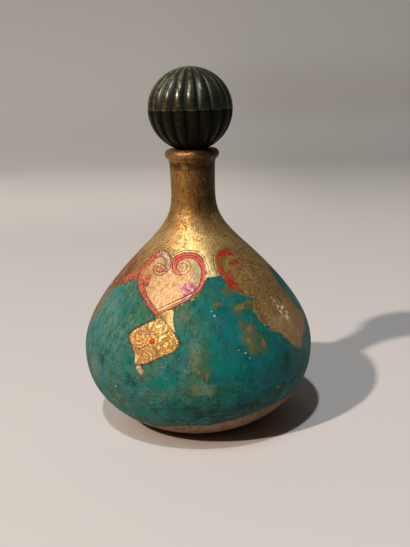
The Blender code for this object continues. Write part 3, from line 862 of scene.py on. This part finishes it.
class Gilding(Paint):
    """The shoulder's finish, with the noises and the drawn distances that its parts share."""

    def __init__(self, name, relief):
        super().__init__(name, relief)
        self.wobble = self.ragged(0.0030, 2.2)
        self.shiver = self.ragged(0.0012, 1.6, 0.7)
        self.wear = self.cloud(0.0034, 6.0, 0.72)
        self.fleck = self.cloud(0.0019, 4.0, 0.75)
        self.tired, self.mossy = self.drawn("tired"), self.drawn("mossy")
        self.fresh, self.unmossed = 1.0 - self.tired, 1.0 - self.mossy
        self.across, self.up = self.drawn("across"), self.drawn("up")
        self.heart = self.drawn("heart") + self.shiver * 0.5
        self.made = teal_body(self)

    def flecked(self, dark, pale, roughness, height, low=0.42, high=0.58):
        """A thin coat in two colours that change from fleck to fleck."""
        return Coat(self.fleck.rise(low, high).over(dark, pale), roughness, height)


def leaf_and_stem(paint):
    """Leaf down to its frayed edge, and the tan stem between heart and lozenge."""
    frayed, across = paint.drawn("frayed"), paint.across
    gilded = paint.drawn("gilded") + frayed * paint.ragged(0.0090, 14.0, 0.62) + (
        paint.wobble + paint.shiver)
    halo = gilded.rise(-2.6, -0.3) * paint.wear.rise(0.40, 0.56)
    paint.made.tint(halo * 0.55, (40, 56, 34))
    soft = frayed.blend(0.25, 1.3) + paint.x.rise(0.062, 0.078) * 1.6
    gilt = gilded.rise(soft * -1.0, soft)
    leaf, shine = worn_leaf(paint)
    paint.made.lay(gilt, leaf)
    stem = (paint.drawn("stem") + paint.shiver).rise(-0.3, 0.3) * 0.85
    stalk = paint.flecked((200, 138, 82), (232, 180, 116), 0.45, 1.0, 0.42, 0.56)
    stalk.colour = across.rise(0.5, 4.5).over((146, 108, 66), stalk.colour)
    stalk.tint(across.rise(9.6, 10.6), (246, 222, 150))
    paint.made.lay(stem, stalk)
    return gilt, shine, stem


def tired_gilding(paint, gilt):
    """On the worn side the leaf is dull, scuffed and brown, and paler towards its lower tip."""
    wear, fleck = paint.wear, paint.fleck
    dull = Coat(wear.rise(0.40, 0.60).over((92, 72, 36), (130, 104, 64)), 0.55, fleck * 1.6)
    dull.tint(fleck.rise(0.52, 0.62) * 0.65, (166, 142, 98))
    dull.tint(paint.cloud(0.009).rise(0.50, 0.62) * 0.6, (112, 66, 40))
    scuffs = paint.cloud(0.0042, 6.0, 0.72, paint.wrapped(0.060, 0.40))
    dull.tint(scuffs.rise(0.52, 0.62) * 0.55, (70, 60, 32))
    dull.tint(scuffs.rise(0.46, 0.38) * 0.50, (150, 122, 66))
    dull.tint(paint.x.rise(0.066, 0.084) * wear.rise(0.36, 0.56) * 0.55, (140, 92, 62))
    dull.tint(fleck.rise(0.45, 0.36) * 0.75, (48, 40, 24))
    dull.tint(paint.z.rise(0.115, 0.092) * 0.34, (186, 156, 116))
    tired = gilt * paint.tired * wear.rise(0.30, 0.46)
    paint.made.lay(tired * 0.88, dull)
    return tired


def heart_ground(paint):
    """Tan gold under the heart's paint, cut with fine lines that fan out from its tip."""
    wear, across, up = paint.wear, paint.across, paint.up
    fan = paint.sum("ARCTAN2", across + 6.8, up - 112.0)
    hatch = paint.cloud(0.5, 4.0, 0.7, paint.joined(fan * 25.0, up * 0.085, 2.0))
    fleck = paint.cloud(0.0020, 4.0, 0.75)
    ground = Coat(hatch.rise(0.38, 0.60).over((160, 110, 70), (218, 178, 128)), 0.48, hatch * 1.4)
    ground.tint(fleck.rise(0.54, 0.64) * 0.50, (240, 222, 180))
    ground.tint(fleck.rise(0.42, 0.34) * 0.45, (120, 84, 48))
    ground.tint(wear.rise(0.56, 0.68) * 0.5, (206, 164, 84))
    rosy = (across + wear * 16.0).rise(-6.0, -14.0) * up.rise(148.0, 154.0) * up.rise(178.0, 170.0)
    ground.tint(rosy * fleck.rise(0.40, 0.56) * 0.75, (168, 84, 64))
    ground.tint(hatch.rise(0.47, 0.42) * wear.rise(0.66, 0.50) * 0.34, (92, 62, 36))
    olive = wear.rise(0.42, 0.60).over((112, 92, 46), (142, 112, 62))
    olive = (paint.fleck.rise(0.46, 0.38) * 0.7).over(olive, (70, 56, 28))
    ground.tint(paint.mossy, olive)
    pale = paint.heart.rise(0.2, 0.9) * (paint.fresh * 0.86)
    paint.made.lay(pale, ground)
    return pale * 0.86


def scroll_eye(paint):
    """Grey shade inside the lobes, and the fine coil of red and umber in the scroll's eye."""
    across, up = paint.across - 5.6, paint.up - 176.0
    shade = (paint.drawn("shade") + paint.wobble * 2.0).rise(-1.0, 1.4)
    paint.made.tint(shade * paint.mossy.blend(1.0, 0.2) * 0.55, (132, 128, 96))
    eye = paint.measured("LENGTH", paint.joined(across, up))
    coil = paint.sum("SINE", eye * 2.1 - (paint.sum("ARCTAN2", up, across) + paint.wobble))
    near_eye = eye.rise(9.4, 6.8) * paint.heart.rise(1.0, 2.0) * paint.unmossed
    paint.made.tint(coil.rise(0.2, 0.8) * near_eye * 0.70, (100, 78, 46))
    paint.made.tint(coil.rise(-0.2, -0.8) * near_eye * paint.across.rise(10.0, 3.0) * 0.66,
                    (206, 104, 82))


def heart_paint(paint):
    """Pink, mauve and reds laid inside the heart's lines, thin where they are rubbed."""
    wear, fleck, wobble, shiver = paint.wear, paint.fleck, paint.wobble, paint.shiver
    across, up, mossy, unmossed = paint.across, paint.up, paint.mossy, paint.unmossed
    heart, made = paint.heart, paint.made
    blush = paint.drawn("blush") + wobble
    pink = paint.flecked((142, 84, 74), (204, 160, 142), 0.45, 0.8, 0.42, 0.56)
    pink.tint(fleck.rise(0.57, 0.64), (240, 226, 208))
    made.lay(blush.rise(-0.4, 0.5) * wear.rise(0.66, 0.50) * unmossed * 0.90, pink)
    petal = paint.drawn("petal") + wobble * 1.3
    mauve = paint.flecked((118, 38, 76), (172, 92, 116), 0.45, 0.8)
    mauve.tint(wear.rise(0.52, 0.62) * 0.7, (206, 162, 148))
    made.lay(petal.rise(-2.2, 0.2) * wear.rise(0.78, 0.58) * unmossed * 0.92, mauve)
    drop = paint.drawn("teardrop") + wobble
    made.lay(drop.rise(-0.5, 0.6) * wear.rise(0.66, 0.48) * unmossed * 0.90,
             paint.flecked((132, 36, 30), (190, 92, 72), 0.45, 0.7, 0.44, 0.58))

    side = paint.drawn("side_band") + (shiver * 0.9 + up.rise(156.0, 164.0) * wobble)
    rubbed = up.rise(156.0, 164.0).blend(0.56, 0.47)
    brick = side.rise(-0.3, 0.4) * wear.rise(rubbed + 0.16, rubbed) * unmossed
    brick_red = paint.flecked((150, 46, 40), (184, 96, 78), 0.42, 0.9)
    brick_red.tint(fleck.rise(0.60, 0.70) * 0.8, (216, 150, 116))
    made.lay(brick * 0.92, brick_red)
    scroll = paint.drawn("scroll") + (shiver * 0.6 + mossy * 0.8)
    tail = up.rise(171.0, 178.0) | across.rise(9.0, 14.0) | mossy
    kept = mossy.blend(0.60, 0.54)
    crimson = (scroll.rise(-0.2, 0.2) * wear.rise(kept + 0.16, kept) * paint.fresh
               * tail.blend(0.5, 1.0))
    scarlet = paint.flecked((152, 26, 36), (196, 54, 58), 0.36, 1.0)
    scarlet.tint(fleck.rise(0.60, 0.68) * 0.7, (232, 150, 132))
    scarlet.tint(mossy, fleck.rise(0.42, 0.58).over((122, 30, 22), (158, 50, 38)))
    made.lay(crimson * 0.96, scarlet)
    # Painted highlight: a pale pink line along the red scroll's outer edge.
    made.tint(scroll.line(1.1, 0.6) * crimson * unmossed * 0.50, (232, 128, 122))
    made.tint((paint.drawn("moss") + wobble).rise(0.0, 1.6) * 0.70, (106, 96, 40))
    berries = (paint.drawn("berries") + wobble * 2.8).rise(-0.6, 1.4)
    made.tint(berries * wear.rise(0.70, 0.52) * 0.84,
              fleck.rise(0.42, 0.58).over((128, 34, 24), (164, 56, 42)))

    lower = up.rise(158.0, 153.0) * across.rise(-7.0, -5.0) * paint.fresh
    made.tint(lower * heart.line(1.5, 1.05) * wear.rise(0.64, 0.50) * 0.85,
              across.rise(2.0, 14.0).over((186, 74, 58), (142, 60, 44)))
    gilt_line = lower * heart.line(2.9, 0.7) * fleck.rise(0.42, 0.56) * wear.rise(0.38, 0.50)
    made.tint(gilt_line * mossy.blend(0.72, 0.2), (230, 192, 116))
    high = up.rise(166.0, 172.0)
    cuts = (heart.line(0.0, 0.60)
            | lower * heart.line(3.9, 0.50)
            | high * heart.line(-1.9, 0.45)
            | high * heart.line(-3.9, 0.5) * across.rise(2.0, -3.0) * 0.6
            | side.line(-0.2, 0.50) * up.rise(166.0, 158.0)
            | scroll.line(-0.15, 0.46) * tail.blend(0.4, 1.0)
            | (blush.line(-0.1, 0.60) | drop.line(-1.9, 0.55)) * unmossed)
    cuts = (cuts * wear.rise(0.30, 0.44) * paint.tired.blend(1.0, 0.10)
            * mossy.blend(1.0, 0.55))
    made.tint(cuts * 0.74, (58, 42, 24))
    made.height = made.height - cuts * 2.0
    spray = ((fleck + heart * 0.045).rise(0.46, 0.54) * heart.rise(-3.4, -2.4)
             * heart.rise(-0.3, -0.6) * lower * mossy.blend(1.0, 0.3))
    made.lay(spray * 0.85, Coat((206, 176, 84), 0.45, 1.2))
    return crimson | brick


def lozenge_gilding(paint):
    """Four raised rosettes of coiled line on granulated gold, round one red bead."""
    wear, fleck, across, up = paint.wear, paint.fleck, paint.across, paint.up
    made, fresh = paint.made, paint.fresh
    lozenge = paint.drawn("lozenge") + (paint.shiver * 1.2 + paint.wobble * 0.5)
    on_lozenge = lozenge.rise(-0.2, 0.3)
    turn_across, turn_up = paint.drawn("rosette_across"), paint.drawn("rosette_up")
    reach = paint.measured("LENGTH", paint.joined(turn_across, turn_up))
    coil = paint.sum("SINE", reach * 1.9 + (paint.sum("ARCTAN2", turn_up, turn_across) + (
        paint.wobble * 0.9 + paint.ragged(0.0065, 4.5))))
    granules = paint.cells(0.0020).rise(0.20, 0.70)
    raised = (coil.rise(-0.7, 0.5) * reach.rise(7.4, 6.6) | reach.rise(2.4, 1.6)
              | reach.line(7.0, 0.9)) * wear.rise(0.62, 0.48)
    yellow = (up + across * 0.3).rise(118.0, 130.0)
    gold = Coat(raised.over((148, 104, 54), yellow.over((226, 172, 92), (238, 202, 112))),
                0.42, raised * 2.4 - granules * 1.2)
    gold.tint(granules * 0.22, (116, 76, 40))
    gold.tint(fleck.rise(0.54, 0.64) * 0.6, yellow.over((214, 164, 96), (244, 212, 126)))
    gold.tint(wear.rise(0.50, 0.64) * across.rise(-2.0, -12.0) * 0.7, (204, 150, 112))
    made.lay(on_lozenge * paint.tired.blend(0.95, 0.12), gold)
    # Painted shadow: a dark olive fringe outside the lozenge's upper left edge.
    fringe_shadow = lozenge.line(-1.3, 1.6) * across.rise(4.0, -4.0) * up.rise(112.0, 118.0) * fresh
    made.tint(fringe_shadow * fleck.rise(0.40, 0.54) * 0.70, (70, 64, 36))
    border = lozenge.line(0.0, 0.7) * paint.tired.blend(1.0, 0.2)
    made.tint(border * wear.rise(0.34, 0.50) * 0.72, (60, 44, 22))
    nicks = lozenge.line(1.2, 0.9) * fleck.rise(0.48, 0.57)
    made.tint(nicks * fresh * 0.7, (226, 192, 126))
    jewel = paint.drawn("jewel") + paint.shiver * 0.8
    made.tint(jewel.rise(4.6, 3.0) * fresh * 0.5, (206, 170, 84))
    made.lay(jewel.rise(2.5, 2.0) * fresh, Coat((150, 32, 22), 0.35, 3.0))
    return on_lozenge * fresh * 0.55


def gilded_shoulder():
    """Teal below; leaf above it; on the leaf the hearts' paint and the lozenges' rosettes."""
    paint = Gilding("Gilding and painted hearts on gesso", 0.00014)
    gilt, shine, stem = leaf_and_stem(paint)
    tired = tired_gilding(paint, gilt)
    pale = heart_ground(paint)
    scroll_eye(paint)
    reds = heart_paint(paint)
    rosettes = lozenge_gilding(paint)
    glint = (paint.drawn("glints") + paint.wobble).rise(-0.8, 1.4)
    paint.made.tint(glint * paint.fleck.rise(0.38, 0.52) * gilt * 0.85, (252, 232, 176))
    chalk = paint.cloud(0.0025, 3.0, 0.65, paint.stretched(1.0, 0.8)).rise(0.53, 0.58)
    flaking = paint.patch("flaked", 0.0028, 12.0, 0.7, -1.0, 4.4) * chalk * gilt
    paint.made.lay(flaking * 0.88, Coat((226, 206, 172), 0.7, 0.0))
    painted = reds | pale | flaking | stem | tired * 0.75 | rosettes
    return paint.settle(paint.made, specular=0.12, metal=gilt * (1.0 - painted) * shine)


shoulder_profile = [
    *stretch(BELLY_HEIGHT, NECK_JOINT_HEIGHT, ROW_STEP),
    (BORE_RADIUS, NECK_JOINT_HEIGHT),
    *[(max(r, BORE_RADIUS), z)
      for r, z in inner_wall(BELLY_HEIGHT, NECK_JOINT_HEIGHT - SOCKET_DROP)],
]
shoulder = turned("gilded_shoulder", shoulder_profile, gilded_shoulder(), BODY_COLUMNS, closed=True)
mark_wear(shoulder.data)
raise_skin(shoulder.data, RELIEF * ease(mark_hearts(shoulder.data), *RELIEF_EDGE))
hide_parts("shoulder")
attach(shoulder, "vase")

# The neck stands on a spigot in the shoulder. It is turned in one with its rolled lip, and
# gilded like the shoulder; its brown gold is partly handling, partly painted shade and reflection.

MOUTH_HEIGHT = 0.2270
LIP_OVERHANG = 0.0041
BEAD_RADIUS = 0.0040
FLARE_BEND = ((0.0, 0.0), (0.0, 0.50), (0.40, 0.82), (1.0, 1.0))
MOUTH_CHAMFER = 0.0015
NECK_FOOT_HEIGHT = 0.1580
SPIGOT_RADIUS = 0.01499
NECK_COLUMNS = 320
BEAD_ARC = (-50.0, 90.0)


def lip():
    """The short flare, the rolled bead, the level land and the chamfer that seats the ball."""
    centre = np.array((NECK_RADIUS + LIP_OVERHANG - BEAD_RADIUS, MOUTH_HEIGHT - BEAD_RADIUS))
    turns = np.radians(np.linspace(*BEAD_ARC, 25))
    bead = centre + BEAD_RADIUS * np.stack([np.cos(turns), np.sin(turns)], 1)
    flare = bend((NECK_RADIUS + NECK_SWELL, FLARE_FOOT_HEIGHT), bead[0], FLARE_BEND, 14)
    return [*flare[1:], *bead[1:], (BORE_RADIUS + MOUTH_CHAMFER, MOUTH_HEIGHT),
            (BORE_RADIUS, MOUTH_HEIGHT - MOUTH_CHAMFER)]


def gilded_neck():
    """Leaf on the outside only, painted shade under the lip, and a rub and painted highlight on the
    lip's left.
    """
    paint = Paint("Browned gilding on the neck", 0.00014)
    x, y, z = paint.x, paint.y, paint.z
    radius = paint.sum("SQRT", x * x + y * y) + (paint.cloud(0.002) - 0.5) * 0.002
    gilt = radius.rise(0.0130, 0.0136) * z.rise(0.1755, 0.1759)
    leaf, shine = worn_leaf(paint)
    made = bare_wood(paint)
    made.lay(gilt, leaf)
    made.tint(paint.cloud(0.0018, 4.0, 0.75).rise(0.56, 0.66) * 0.5, (30, 18, 8))
    patch = paint.cloud(0.0048, 5.0, 0.7)
    # Painted shade: a mottled dark band under the overhanging lip.
    grime_and_shade = z.rise(0.2095, 0.2130) * z.rise(0.2190, 0.2165) * patch.rise(0.40, 0.54)
    made.tint(grime_and_shade * 0.78, (52, 30, 14))
    # A paler, glossier rub on the lip's lit left: partly polish, partly a painted highlight.
    polish_and_highlight = z.rise(0.2175, 0.2195) * x.rise(0.010, -0.008) * patch.rise(0.60, 0.46)
    made.tint(polish_and_highlight * 0.75, (154, 108, 70))
    made.roughness = polish_and_highlight.blend(made.roughness, 0.38)
    return paint.settle(made, specular=0.2, metal=gilt * shine)


neck_profile = [
    (BORE_RADIUS, NECK_FOOT_HEIGHT), (SPIGOT_RADIUS, NECK_FOOT_HEIGHT),
    (SPIGOT_RADIUS, NECK_JOINT_HEIGHT),
    *stretch(NECK_JOINT_HEIGHT, FLARE_FOOT_HEIGHT, ROW_STEP),
    *lip(),
]
neck = turned("gilded_neck", neck_profile, gilded_neck(), NECK_COLUMNS, closed=True)
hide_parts("neck")
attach(neck, "vase")

# The cork plugs the bore and hangs on the peg, a plain dowel that also ties the ball's
# halves together. Both keep their turned shape and get cork's pores and the wood's grain.

cork_paint = Paint("Cork bark", 0.0002)
crumbs = cork_paint.cells(0.0016)
pores = cork_paint.cloud(0.0018, 4.0, 0.7, cork_paint.stretched(1.0, 0.5)).rise(0.56, 0.66)
cork = Coat(crumbs.rise(0.2, 0.7).over((196, 150, 104), (166, 118, 76)), pores.blend(0.8, 0.95),
            crumbs * 0.5 - pores)
cork.tint(pores * 0.85, (88, 54, 32))
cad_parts["stopper_cork"].material_slots[0].material = cork_paint.settle(cork)
peg_paint = Paint("Dowel wood", 0.00008)
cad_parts["stopper_peg"].material_slots[0].material = peg_paint.settle(bare_wood(peg_paint))

# The ball is two hollow mouldings in dark green plastic, glued at the middle. Gadroons run
# from pole to pole; a little flash stands at the seam, and the gloss is worn to brown there.

BALL_RADIUS = 0.0340
UPPER_RISE = 0.0328
LOWER_RISE = 0.0334
BALL_WALL = 0.0035
SEAT_GAP = 0.0003
GADROONS = 19
GADROON_DEPTH = 0.0024
UPPER_GROOVE = -97.4 / 360.0
LOWER_GROOVE = -96.0 / 360.0
BALL_COLUMNS = GADROONS * 16
COLLAR_RADIUS = 0.0100
COLLAR_END = 0.2250
COLLAR_MEETS = 0.953
PEG_HOLE = 0.0043
seat_reach = math.sqrt(1.0 - ((BORE_RADIUS + MOUTH_CHAMFER) / BALL_RADIUS) ** 2)
BALL_HEIGHT = MOUTH_HEIGHT + SEAT_GAP + LOWER_RISE * seat_reach
SEAM_SHARE = 0.03
MOUTH_SHARE = 0.805
HOLLOW_SHARES = (0.05, 0.80)
LOBE_FADE = 0.8
FLASH_REACH = 0.00022
LOWER_FLASH_REACH = 0.00018
FLASH_DEPTH = GADROON_DEPTH * 0.92
FLASH_HEIGHT = 0.00020
PARTING = 0.00002
SEAM_SET = 0.00045
SEAM_DRAW = 0.00004
BOSS_WALL = 0.0032
BOSS_GAP = 0.0010
BLIND_BOSS_TOP = 0.0180
UNEVENNESS = 0.35


def half_ball(rise, low_share, high_share, steps):
    """Outer rings of a half ball between two shares of the way from seam to pole."""
    return [(BALL_RADIUS * math.cos(turn), GADROON_DEPTH * math.cos(turn) ** LOBE_FADE,
             BALL_HEIGHT + rise * math.sin(turn))
            for turn in np.linspace(low_share, high_share, steps + 1) * math.pi / 2.0]


def hollow(rise):
    """The inner rings, one wall's thickness inside the bottoms of the grooves."""
    wall = BALL_WALL + GADROON_DEPTH
    return [((BALL_RADIUS - wall) * math.cos(turn), 0.0,
             BALL_HEIGHT + math.copysign(abs(rise) - wall, rise) * math.sin(turn))
            for turn in np.linspace(*HOLLOW_SHARES, 11) * math.pi / 2.0]


def moulded(name, dark, pale, dust_and_light, gloss, specular, specular_tint):
    """Moulded plastic: shade painted in its grooves; crowns painted lighter as highlight, rubbed
    brown.
    """
    paint = Paint(name, 0.00008)
    x, above = paint.x, paint.z - BALL_HEIGHT
    wide = paint.cloud(0.012, 3.0) * 0.010
    patch = paint.cloud(0.0042, 5.0, 0.70)
    fine = paint.cloud(0.0016, 4.0, 0.72)
    groove = paint.drawn("groove")
    crown, deep = groove.rise(0.72, 0.10), groove.rise(0.42, 0.90)
    lit_left = (x + wide).rise(0.020, -0.010)
    # Painted highlight: the crowns are painted lighter, most on the lit left.
    lit = patch.rise(0.36, 0.62) * crown * lit_left.blend(0.40, 1.0)
    made = Coat(lit.over(dark, pale), patch.blend(gloss - 0.07, gloss + 0.09) + (
        deep * 0.25 + x.rise(-0.008, 0.006) * 0.05), fine + patch)
    # Dust on the top and the crowns, stronger on the lit left, where it is partly a painted
    # highlight.
    dust_and_highlight = above.rise(0.003, 0.026) * patch.rise(0.34, 0.58) * crown.blend(0.20, 1.0)
    made.tint(dust_and_highlight * lit_left.blend(0.14, 1.0) * 0.80, dust_and_light)
    # Painted shade: below the seam the ball is darkened, except at the far left.
    made.tint(above.rise(0.0, -0.004) * (1.0 - x.rise(-0.034, -0.010)) * 0.6, (7, 6, 2))
    amber = above.rise(0.015, 0.005) * above.rise(-0.001, 0.001).blend(0.35, 1.0)
    amber = amber * above.rise(-0.028, -0.004) * crown * (x + wide).rise(0.010, -0.002)
    made.tint(amber * patch.rise(0.44, 0.60) * 0.62, (74, 50, 20))
    spots = above.rise(0.0, 0.001) * amber * above.rise(0.012, 0.006) * fine.rise(0.54, 0.62)
    made.tint(spots * 0.72, (146, 100, 44))
    seam = above.rise(-0.0006, -0.0002) * above.rise(0.0006, 0.0002)
    made.tint(seam * patch.rise(0.42, 0.58) * 0.62, (92, 92, 70))
    # Painted shade: the grooves are darkened almost to black.
    made.tint(deep * 0.90, (8, 9, 5))
    paint.shader.inputs["Specular Tint"].default_value = specular_tint
    return paint.settle(made, specular)


upper_finish = moulded("Dark green moulding", (14, 18, 10), (36, 39, 24), (108, 107, 80),
                       0.23, 0.50, (0.95, 0.94, 0.80, 1.0))
upper_profile = [
    (0.0, 0.0, BALL_HEIGHT + BLIND_BOSS_TOP), (PEG_HOLE, 0.0, BALL_HEIGHT + BLIND_BOSS_TOP),
    (PEG_HOLE, 0.0, BALL_HEIGHT + BOSS_GAP), (PEG_HOLE + BOSS_WALL, 0.0, BALL_HEIGHT + BOSS_GAP),
    *reversed(hollow(UPPER_RISE)),
    (BALL_RADIUS - BALL_WALL, GADROON_DEPTH, BALL_HEIGHT + PARTING),
    (BALL_RADIUS + FLASH_REACH, FLASH_DEPTH, BALL_HEIGHT + PARTING),
    (BALL_RADIUS + FLASH_REACH, FLASH_DEPTH, BALL_HEIGHT + FLASH_HEIGHT),
    (BALL_RADIUS - SEAM_DRAW, GADROON_DEPTH, BALL_HEIGHT + SEAM_SET),
    *half_ball(UPPER_RISE, SEAM_SHARE, 1.0, 44),
]
upper = turned("gadrooned_upper_half", upper_profile, upper_finish, BALL_COLUMNS,
               lobes=GADROONS, groove_turn=UPPER_GROOVE, uneven=UNEVENNESS)
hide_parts("stopper_upper_half")
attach(upper, "stopper")

# The lower half is the upper moulding in darker colours: painted shade, as it faces down.
lower_finish = moulded("Green moulding in painted shade", (11, 10, 4), (27, 22, 9), (27, 22, 9),
                       0.34, 0.08, (0.88, 0.88, 0.62, 1.0))
lower_profile = [
    *reversed(half_ball(-LOWER_RISE, SEAM_SHARE, MOUTH_SHARE, 36)),
    (BALL_RADIUS - SEAM_DRAW, GADROON_DEPTH, BALL_HEIGHT - SEAM_SET),
    (BALL_RADIUS + LOWER_FLASH_REACH, FLASH_DEPTH, BALL_HEIGHT - FLASH_HEIGHT),
    (BALL_RADIUS + LOWER_FLASH_REACH, FLASH_DEPTH, BALL_HEIGHT - PARTING),
    (BALL_RADIUS - BALL_WALL, GADROON_DEPTH, BALL_HEIGHT - PARTING),
    *hollow(-LOWER_RISE),
    (PEG_HOLE + BOSS_WALL, 0.0, BALL_HEIGHT - BOSS_GAP), (PEG_HOLE, 0.0, BALL_HEIGHT - BOSS_GAP),
    (PEG_HOLE, 0.0, COLLAR_END), (COLLAR_RADIUS, 0.0, COLLAR_END),
    (COLLAR_RADIUS, 0.0, BALL_HEIGHT - LOWER_RISE * COLLAR_MEETS),
]
lower = turned("gadrooned_lower_half", lower_profile, lower_finish, BALL_COLUMNS, closed=True,
               lobes=GADROONS, groove_turn=LOWER_GROOVE, uneven=UNEVENNESS)
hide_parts("stopper_lower_half")
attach(lower, "stopper")

# The studio is a pale sheet that rises into a backdrop, two lamps high on the left, and the
# camera a little above the vase.

SHEET_HALF = 6.0
SHEET_FRONT = -3.0
SHEET_BEND_START = 1.9
SHEET_BEND_RADIUS = 1.2
SHEET_TOP = 3.4
CAMERA_PLACE = (0.0075, -0.6409, 0.2860)
CAMERA_PITCH = 14.28
CAMERA_ROLL = 1.81
CAMERA_LENS = 52.0
KEY_LAMP = (224.0, 41.5, 5.0, 0.20, 214.0, (1.0, 0.888, 0.79))
TOP_LAMP = (251.0, 66.0, 5.0, 0.22, 111.0, (0.95, 0.995, 1.0))
ROOM_COLOUR = (0.9, 0.95, 1.0, 1.0)
ROOM_STRENGTH = 0.05
SHEET_FLAT = 0.6

profile = [(SHEET_FRONT, 0.0), (-SHEET_FLAT, 0.0), (SHEET_FLAT, 0.0), (SHEET_BEND_START, 0.0)]
for turn in np.radians(np.linspace(0.0, 90.0, 17)[1:]):
    profile.append((SHEET_BEND_START + SHEET_BEND_RADIUS * math.sin(turn),
                    SHEET_BEND_RADIUS * (1.0 - math.cos(turn))))
profile.append((SHEET_BEND_START + SHEET_BEND_RADIUS, SHEET_TOP))
build = bmesh.new()
rows = [[build.verts.new((x, y, z)) for x in (-SHEET_HALF, SHEET_HALF)] for y, z in profile]
for first, second in zip(rows, rows[1:]):
    build.faces.new((first[0], first[1], second[1], second[0]))
sheet_mesh = bpy.data.meshes.new("pale_sheet")
build.to_mesh(sheet_mesh)
build.free()
sheet_mesh.shade_smooth()
sheet = bpy.data.objects.new("pale_sheet", sheet_mesh)
bpy.context.collection.objects.link(sheet)


def pale_paper():
    """Paper: painted light along its bend, painted dim at right, back and top, painted shadow by
    the foot.
    """
    paint = Paint("Pale paper", 0.0)
    x, y, z = paint.x, paint.y, paint.z
    # Painted falloff: the paper is painted dimmer further back and to the right.
    to_right = x.rise(-0.25, 0.40)
    back = to_right.over((187, 184, 180), (175, 173, 171))
    made = Coat((y + to_right * 0.35).rise(1.0, 2.3).over((206, 201, 199), back), 0.9, 0.0)
    lit_fold = y.rise(0.70, 1.20) * y.rise(2.4, 1.3) * x.rise(-0.15, 0.35).blend(0.9, 0.10)
    made.tint(lit_fold, (225, 220, 216))
    # Painted falloff: the backdrop is painted darker as it rises.
    made.tint(z.rise(0.0, 0.9), (170, 167, 164))
    dim = z.rise(0.06, 0.16) * z.rise(0.38, 0.22) * x.rise(-0.10, 0.35)
    made.tint(dim * 0.75, (166, 162, 158))
    made.tint(paint.cloud(0.4, 2.0) * 0.08, (190, 184, 180))
    # Painted shadow: a warm brown patch round the foot.
    from_foot = paint.measured("DISTANCE", paint.place, (0.012, 0.0, 0.0))
    made.tint(from_foot.rise(0.092, 0.048) * 0.60, (146, 108, 76))
    return paint.settle(made, specular=0.15)


sheet_mesh.materials.append(pale_paper())


def lamp(name, azimuth, elevation, distance, size, power, colour):
    """A round lamp that looks at the vase; azimuth counts from +X round to +Y."""
    glow = bpy.data.lights.new(name, "AREA")
    glow.shape, glow.size, glow.energy, glow.color = "DISK", size, power, colour
    holder = bpy.data.objects.new(name, glow)
    a, e = math.radians(azimuth), math.radians(elevation)
    away = Vector((math.cos(a) * math.cos(e), math.sin(a) * math.cos(e), math.sin(e)))
    holder.location = away * distance
    holder.rotation_euler = (-away).to_track_quat("-Z", "Y").to_euler()
    bpy.context.collection.objects.link(holder)


lamp("key_lamp", *KEY_LAMP)
lamp("top_lamp", *TOP_LAMP)
world = bpy.data.worlds.new("room")
world.use_nodes = True
world.node_tree.nodes["Background"].inputs["Color"].default_value = ROOM_COLOUR
world.node_tree.nodes["Background"].inputs["Strength"].default_value = ROOM_STRENGTH
bpy.context.scene.world = world
bpy.context.scene.view_settings.view_transform = "Standard"

camera = bpy.data.objects.new("camera", bpy.data.cameras.new("camera"))
camera.data.lens = CAMERA_LENS
camera.location = CAMERA_PLACE
camera.rotation_euler = (Matrix.Rotation(math.radians(90.0 - CAMERA_PITCH), 4, "X")
                         @ Matrix.Rotation(math.radians(-CAMERA_ROLL), 4, "Z")).to_euler()
bpy.context.collection.objects.link(camera)
bpy.context.scene.camera = camera
